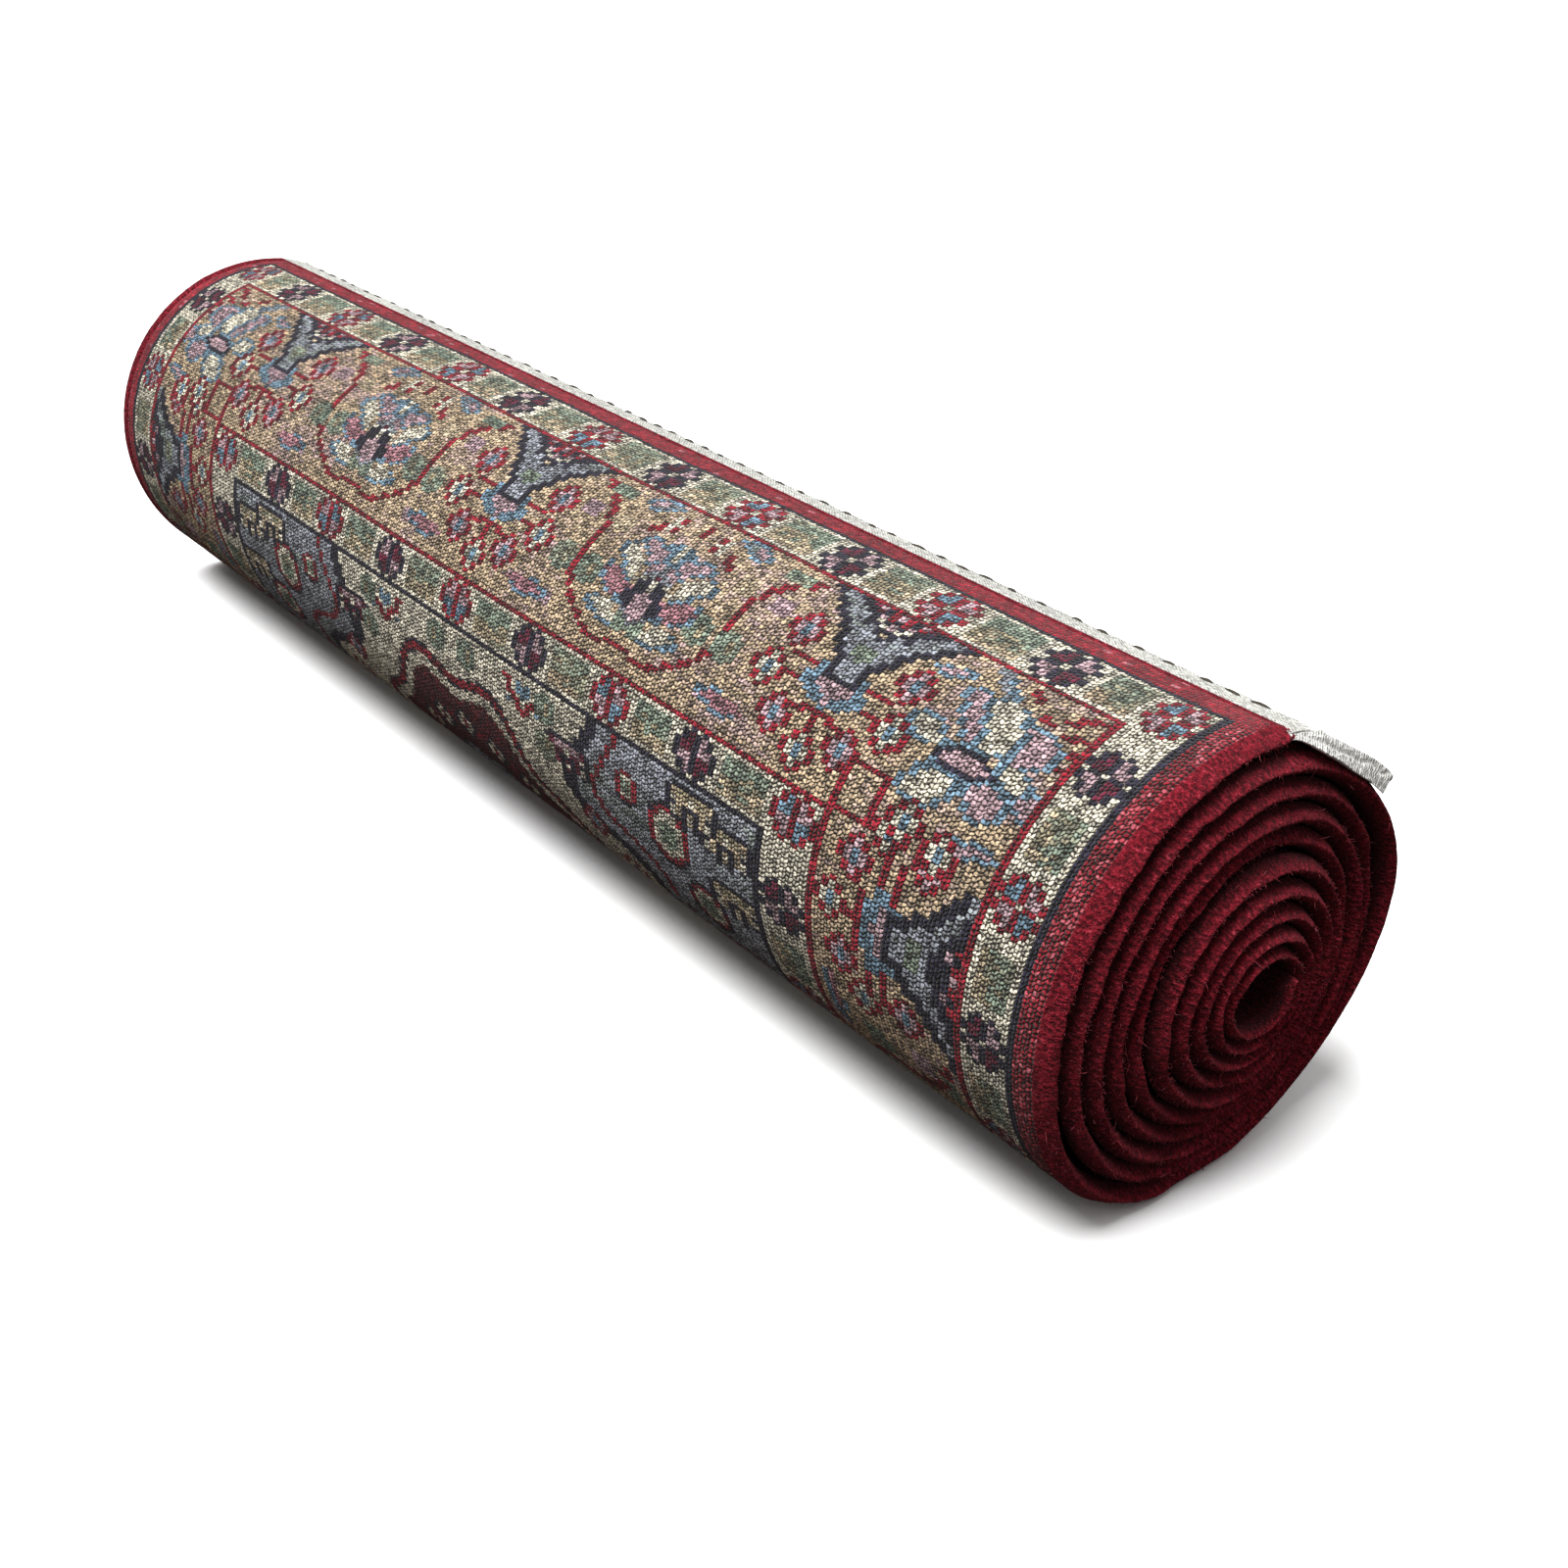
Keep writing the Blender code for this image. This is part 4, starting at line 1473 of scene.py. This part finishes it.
fold_grids = np.stack([side_fold(True, 45), side_fold(False, 50)])
fold_faces = shifted([capped_tube(grid) for grid in fold_grids], FOLD_STEPS * (FOLD_TOP + FOLD_UNDER))
# The folds take the lighter cotton copy: painted light.
folds = add_piece("side_folds", fold_grids.reshape(-1, 3), fold_faces, FOLD_COTTON_PAINTED_LIGHT)
fold_flat = [weave_map(grid.swapaxes(0, 1)).swapaxes(0, 1) for grid in fold_grids]
give_map(folds.data, "weave", np.stack(fold_flat).reshape(-1, 2))

# %% [markdown]
# ## The stitches
# A row of dark stitches shows along the cotton end, where its turned-under edge is
# sewn down. Each is a flat thread that dives into the cloth at both its ends.

# %% Stitches
STITCH_BACK, STITCH_GAPS, STITCH_SPREAD = 0.0140, (0.012, 0.019), (0.65, 1.15)
STITCH_LENGTH, STITCH_WIDTH, STITCH_HEIGHT = 0.0090, 0.0010, 0.00055
THREAD = dye(74, 68, 60)


def stitch_thread():
    """Dark thread, a little uneven."""
    material, tree, shader = new_material("stitch_thread", 0.8)
    fuzz = use_group(tree, WOOL_FUZZ, **{"Fibre Size": 0.0006, "Contrast": 0.5})
    colour = multiplied(tree, THREAD, fuzz.outputs["Shade"])
    finished(tree, shader, colour, fuzz.outputs["Height"], 0.0003)
    return material


def stitches():
    """Each stitch is a tube about a short line: half width w sin(pi s) across, half
    height h, and a lift that follows the same arch, so that it ends in the cloth."""
    random = np.random.default_rng(51)
    middles = np.cumsum(random.uniform(*STITCH_GAPS, 80))
    middles = middles[middles < RUG_WIDTH - 0.024] + 0.010
    count = len(middles)
    s = np.linspace(0, 1, 9)[None, :, None]
    a = np.linspace(0, 2 * np.pi, 8, endpoint=False)[None, None, :]
    arch = np.sin(np.pi * np.clip(s, 0.02, 0.98)) ** 0.5
    long = STITCH_LENGTH * random.uniform(*STITCH_SPREAD, (count, 1, 1))
    along = middles[:, None, None] + (s - 0.5) * long
    lean = random.uniform(-0.12, 0.12, (count, 1, 1))
    back = STITCH_BACK + random.uniform(-0.0008, 0.0008, (count, 1, 1)) + lean * (s - 0.5) * long
    back = back + STITCH_WIDTH * arch * np.cos(a)
    lift = KILIM_THICKNESS + welt(back) - 0.0005 + 0.0007 * arch + STITCH_HEIGHT * arch * np.sin(a)
    grid = cotton_place(along / RUG_WIDTH, back, lift, back / KILIM_LENGTH)
    return grid.reshape(-1, 3), shifted([capped_tube(one) for one in grid], s.size * a.size)


stitch_row = add_piece("stitches", *stitches(), stitch_thread())

# %% [markdown]
# ## Loose fibres
# Wool that is handled stands up in short fibres, paler at their tips. Each is a bent
# spike with three sides, and thousands of them make the ridges look soft. They are
# worked out at once as arrays, rooted on the edges of the winding and along the last row
# of knots. A few are lint, longer and more bent.

# %% Fibres
FIBRE_WIDTH, FIBRE_LONG, FIBRE_BEND = 0.00010, (0.0006, 0.0016), 0.0005
LINT_WIDE, LINT_LONG, LINT_BEND, LINT_SHARE = 1.7, (0.0022, 0.0050), 2.5, 0.014
LINE_LONG, LINE_BEND = (0.0005, 0.0013), 0.0002
NEAR_FIBRES, FAR_FIBRES, END_FIBRES = 11000, 5000, 6000
TIP_ROSE = dye(226, 150, 158)


def fibre_material():
    """Red at the root, pale rose at the tip where the light shines through."""
    material, tree, shader = new_material("loose_fibres", 0.9, 0.4, SHEEN_ROSE)
    tip = add_node(tree, "Attribute", attribute_name="tip").node.outputs["Fac"]
    tree.links.new(mixed(tree, tip, EDGE_RED, TIP_ROSE), shader.inputs["Base Color"])
    return material


def spikes(root, towards, long, bend, wide=1.0):
    """Three-sided spikes: point = root + towards h + bend h^2 for h of 0, half and 1
    length, with three points round it at the first two and one at the tip."""
    thick = FIBRE_WIDTH * np.broadcast_to(wide, long.shape)[:, None]
    side = np.cross(towards, np.array([0.31, 0.77, 0.55]))
    side /= np.linalg.norm(side, axis=1, keepdims=True)
    other = np.cross(towards, side)
    rings = []
    for share, width in ((0.0, 1.0), (0.55, 0.7)):
        at = root + towards * (long * share)[:, None] + bend * (share ** 2)
        for angle in (0, 2 * np.pi / 3, 4 * np.pi / 3):
            rings.append(at + thick * width * (np.cos(angle) * side + np.sin(angle) * other))
    rings.append(root + towards * long[:, None] + bend)
    points = np.stack(rings, axis=1)
    start = (np.arange(len(root)) * points.shape[1])[:, None, None]
    faces = []
    for kind in (((0, 1, 4, 3), (1, 2, 5, 4), (2, 0, 3, 5)), ((3, 4, 6), (4, 5, 6), (5, 3, 6)), ((2, 1, 0),)):
        faces += (np.array(kind) + start).reshape(-1, len(kind[0])).tolist()
    return points.reshape(-1, 3), faces


def edge_fibres(count, edge, sign, seed):
    """Fibres on one end's ridges: a random length of cloth, a random share l of its half
    thickness, where the edge lies at x = edge less depth |l|^1.45, and a direction near
    that surface's own normal."""
    random = np.random.default_rng(seed)
    turns, length = travelled(RUG_THICKNESS / 2)
    turn = np.interp(random.uniform(0, RUG_LENGTH, count), length, turns)
    lift = random.uniform(-0.65, 1.0, count)
    depth = EDGE_ROUND if sign > 0 else FAR_ROUND
    radius = spiral(turn) - RUG_THICKNESS / 2 + RUG_THICKNESS / 2 * lift
    x = edge(turn) - sign * depth * np.abs(lift) ** EDGE_POINT
    root = place(turn, radius, x)
    slope = depth * EDGE_POINT * np.abs(lift) ** (EDGE_POINT - 1) * np.sign(lift)
    normal = slope[:, None] * outwards(angle_of(turn))
    normal[:, 0] += sign * RUG_THICKNESS / 2
    normal /= np.linalg.norm(normal, axis=1, keepdims=True)
    towards = 0.6 * normal + 0.6 * random.standard_normal((count, 3))
    towards /= np.linalg.norm(towards, axis=1, keepdims=True)
    long = random.uniform(*FIBRE_LONG, count) * rough_share(turn)
    lint = random.uniform(0, 1, count) < LINT_SHARE
    long = np.where(lint, random.uniform(*LINT_LONG, count), long)
    bend = FIBRE_BEND * random.standard_normal((count, 3)) - np.array([0, 0, 0.0002])
    bend = bend * np.where(lint, LINT_BEND, 1.0)[:, None]
    return spikes(root - normal * 0.0003, towards, long, bend, np.where(lint, LINT_WIDE, 1.0))


def line_fibres(count, seed):
    """Fibres of the last red row that lie over the cotton all along the free end."""
    random = np.random.default_rng(seed)
    share = random.uniform(0.002, 0.998, count)
    x = far_edge(0.0) * (1 - share) + near_edge(0.0) * share
    over = np.clip(0.0002 + 0.0005 * random.standard_normal(count), -0.0006, 0.0011)
    angle = FREE_END - over / START_RADIUS
    root = round_axis(x, angle, START_RADIUS - BACK_BELOW * 0.5)
    backwards = outwards(angle - np.pi / 2)
    towards = 0.8 * backwards + 0.3 * outwards(angle) + 0.6 * random.standard_normal((count, 3))
    towards /= np.linalg.norm(towards, axis=1, keepdims=True)
    bend = LINE_BEND * random.standard_normal((count, 3))
    return spikes(root, towards, random.uniform(*LINE_LONG, count), bend)


def add_fibres(name, count, seed, points, faces):
    """A piece of fibres, each with its own paleness that grows from root to tip."""
    piece = add_piece(name, points, faces, LOOSE_FIBRES)
    pale = np.random.default_rng(seed + 1).uniform(0.1, 1.0, count)
    give_value(piece.data, "tip", pale[:, None] * np.array([0, 0, 0, 0.35, 0.35, 0.35, 1]))
    return piece


LOOSE_FIBRES = fibre_material()
near_fibres = add_fibres("near_fibres", NEAR_FIBRES, 61, *edge_fibres(NEAR_FIBRES, near_edge, 1, 61))
far_fibres = add_fibres("far_fibres", FAR_FIBRES, 71, *edge_fibres(FAR_FIBRES, far_edge, -1, 71))
end_fibres = add_fibres("end_fibres", END_FIBRES, 81, *line_fibres(END_FIBRES, 81))
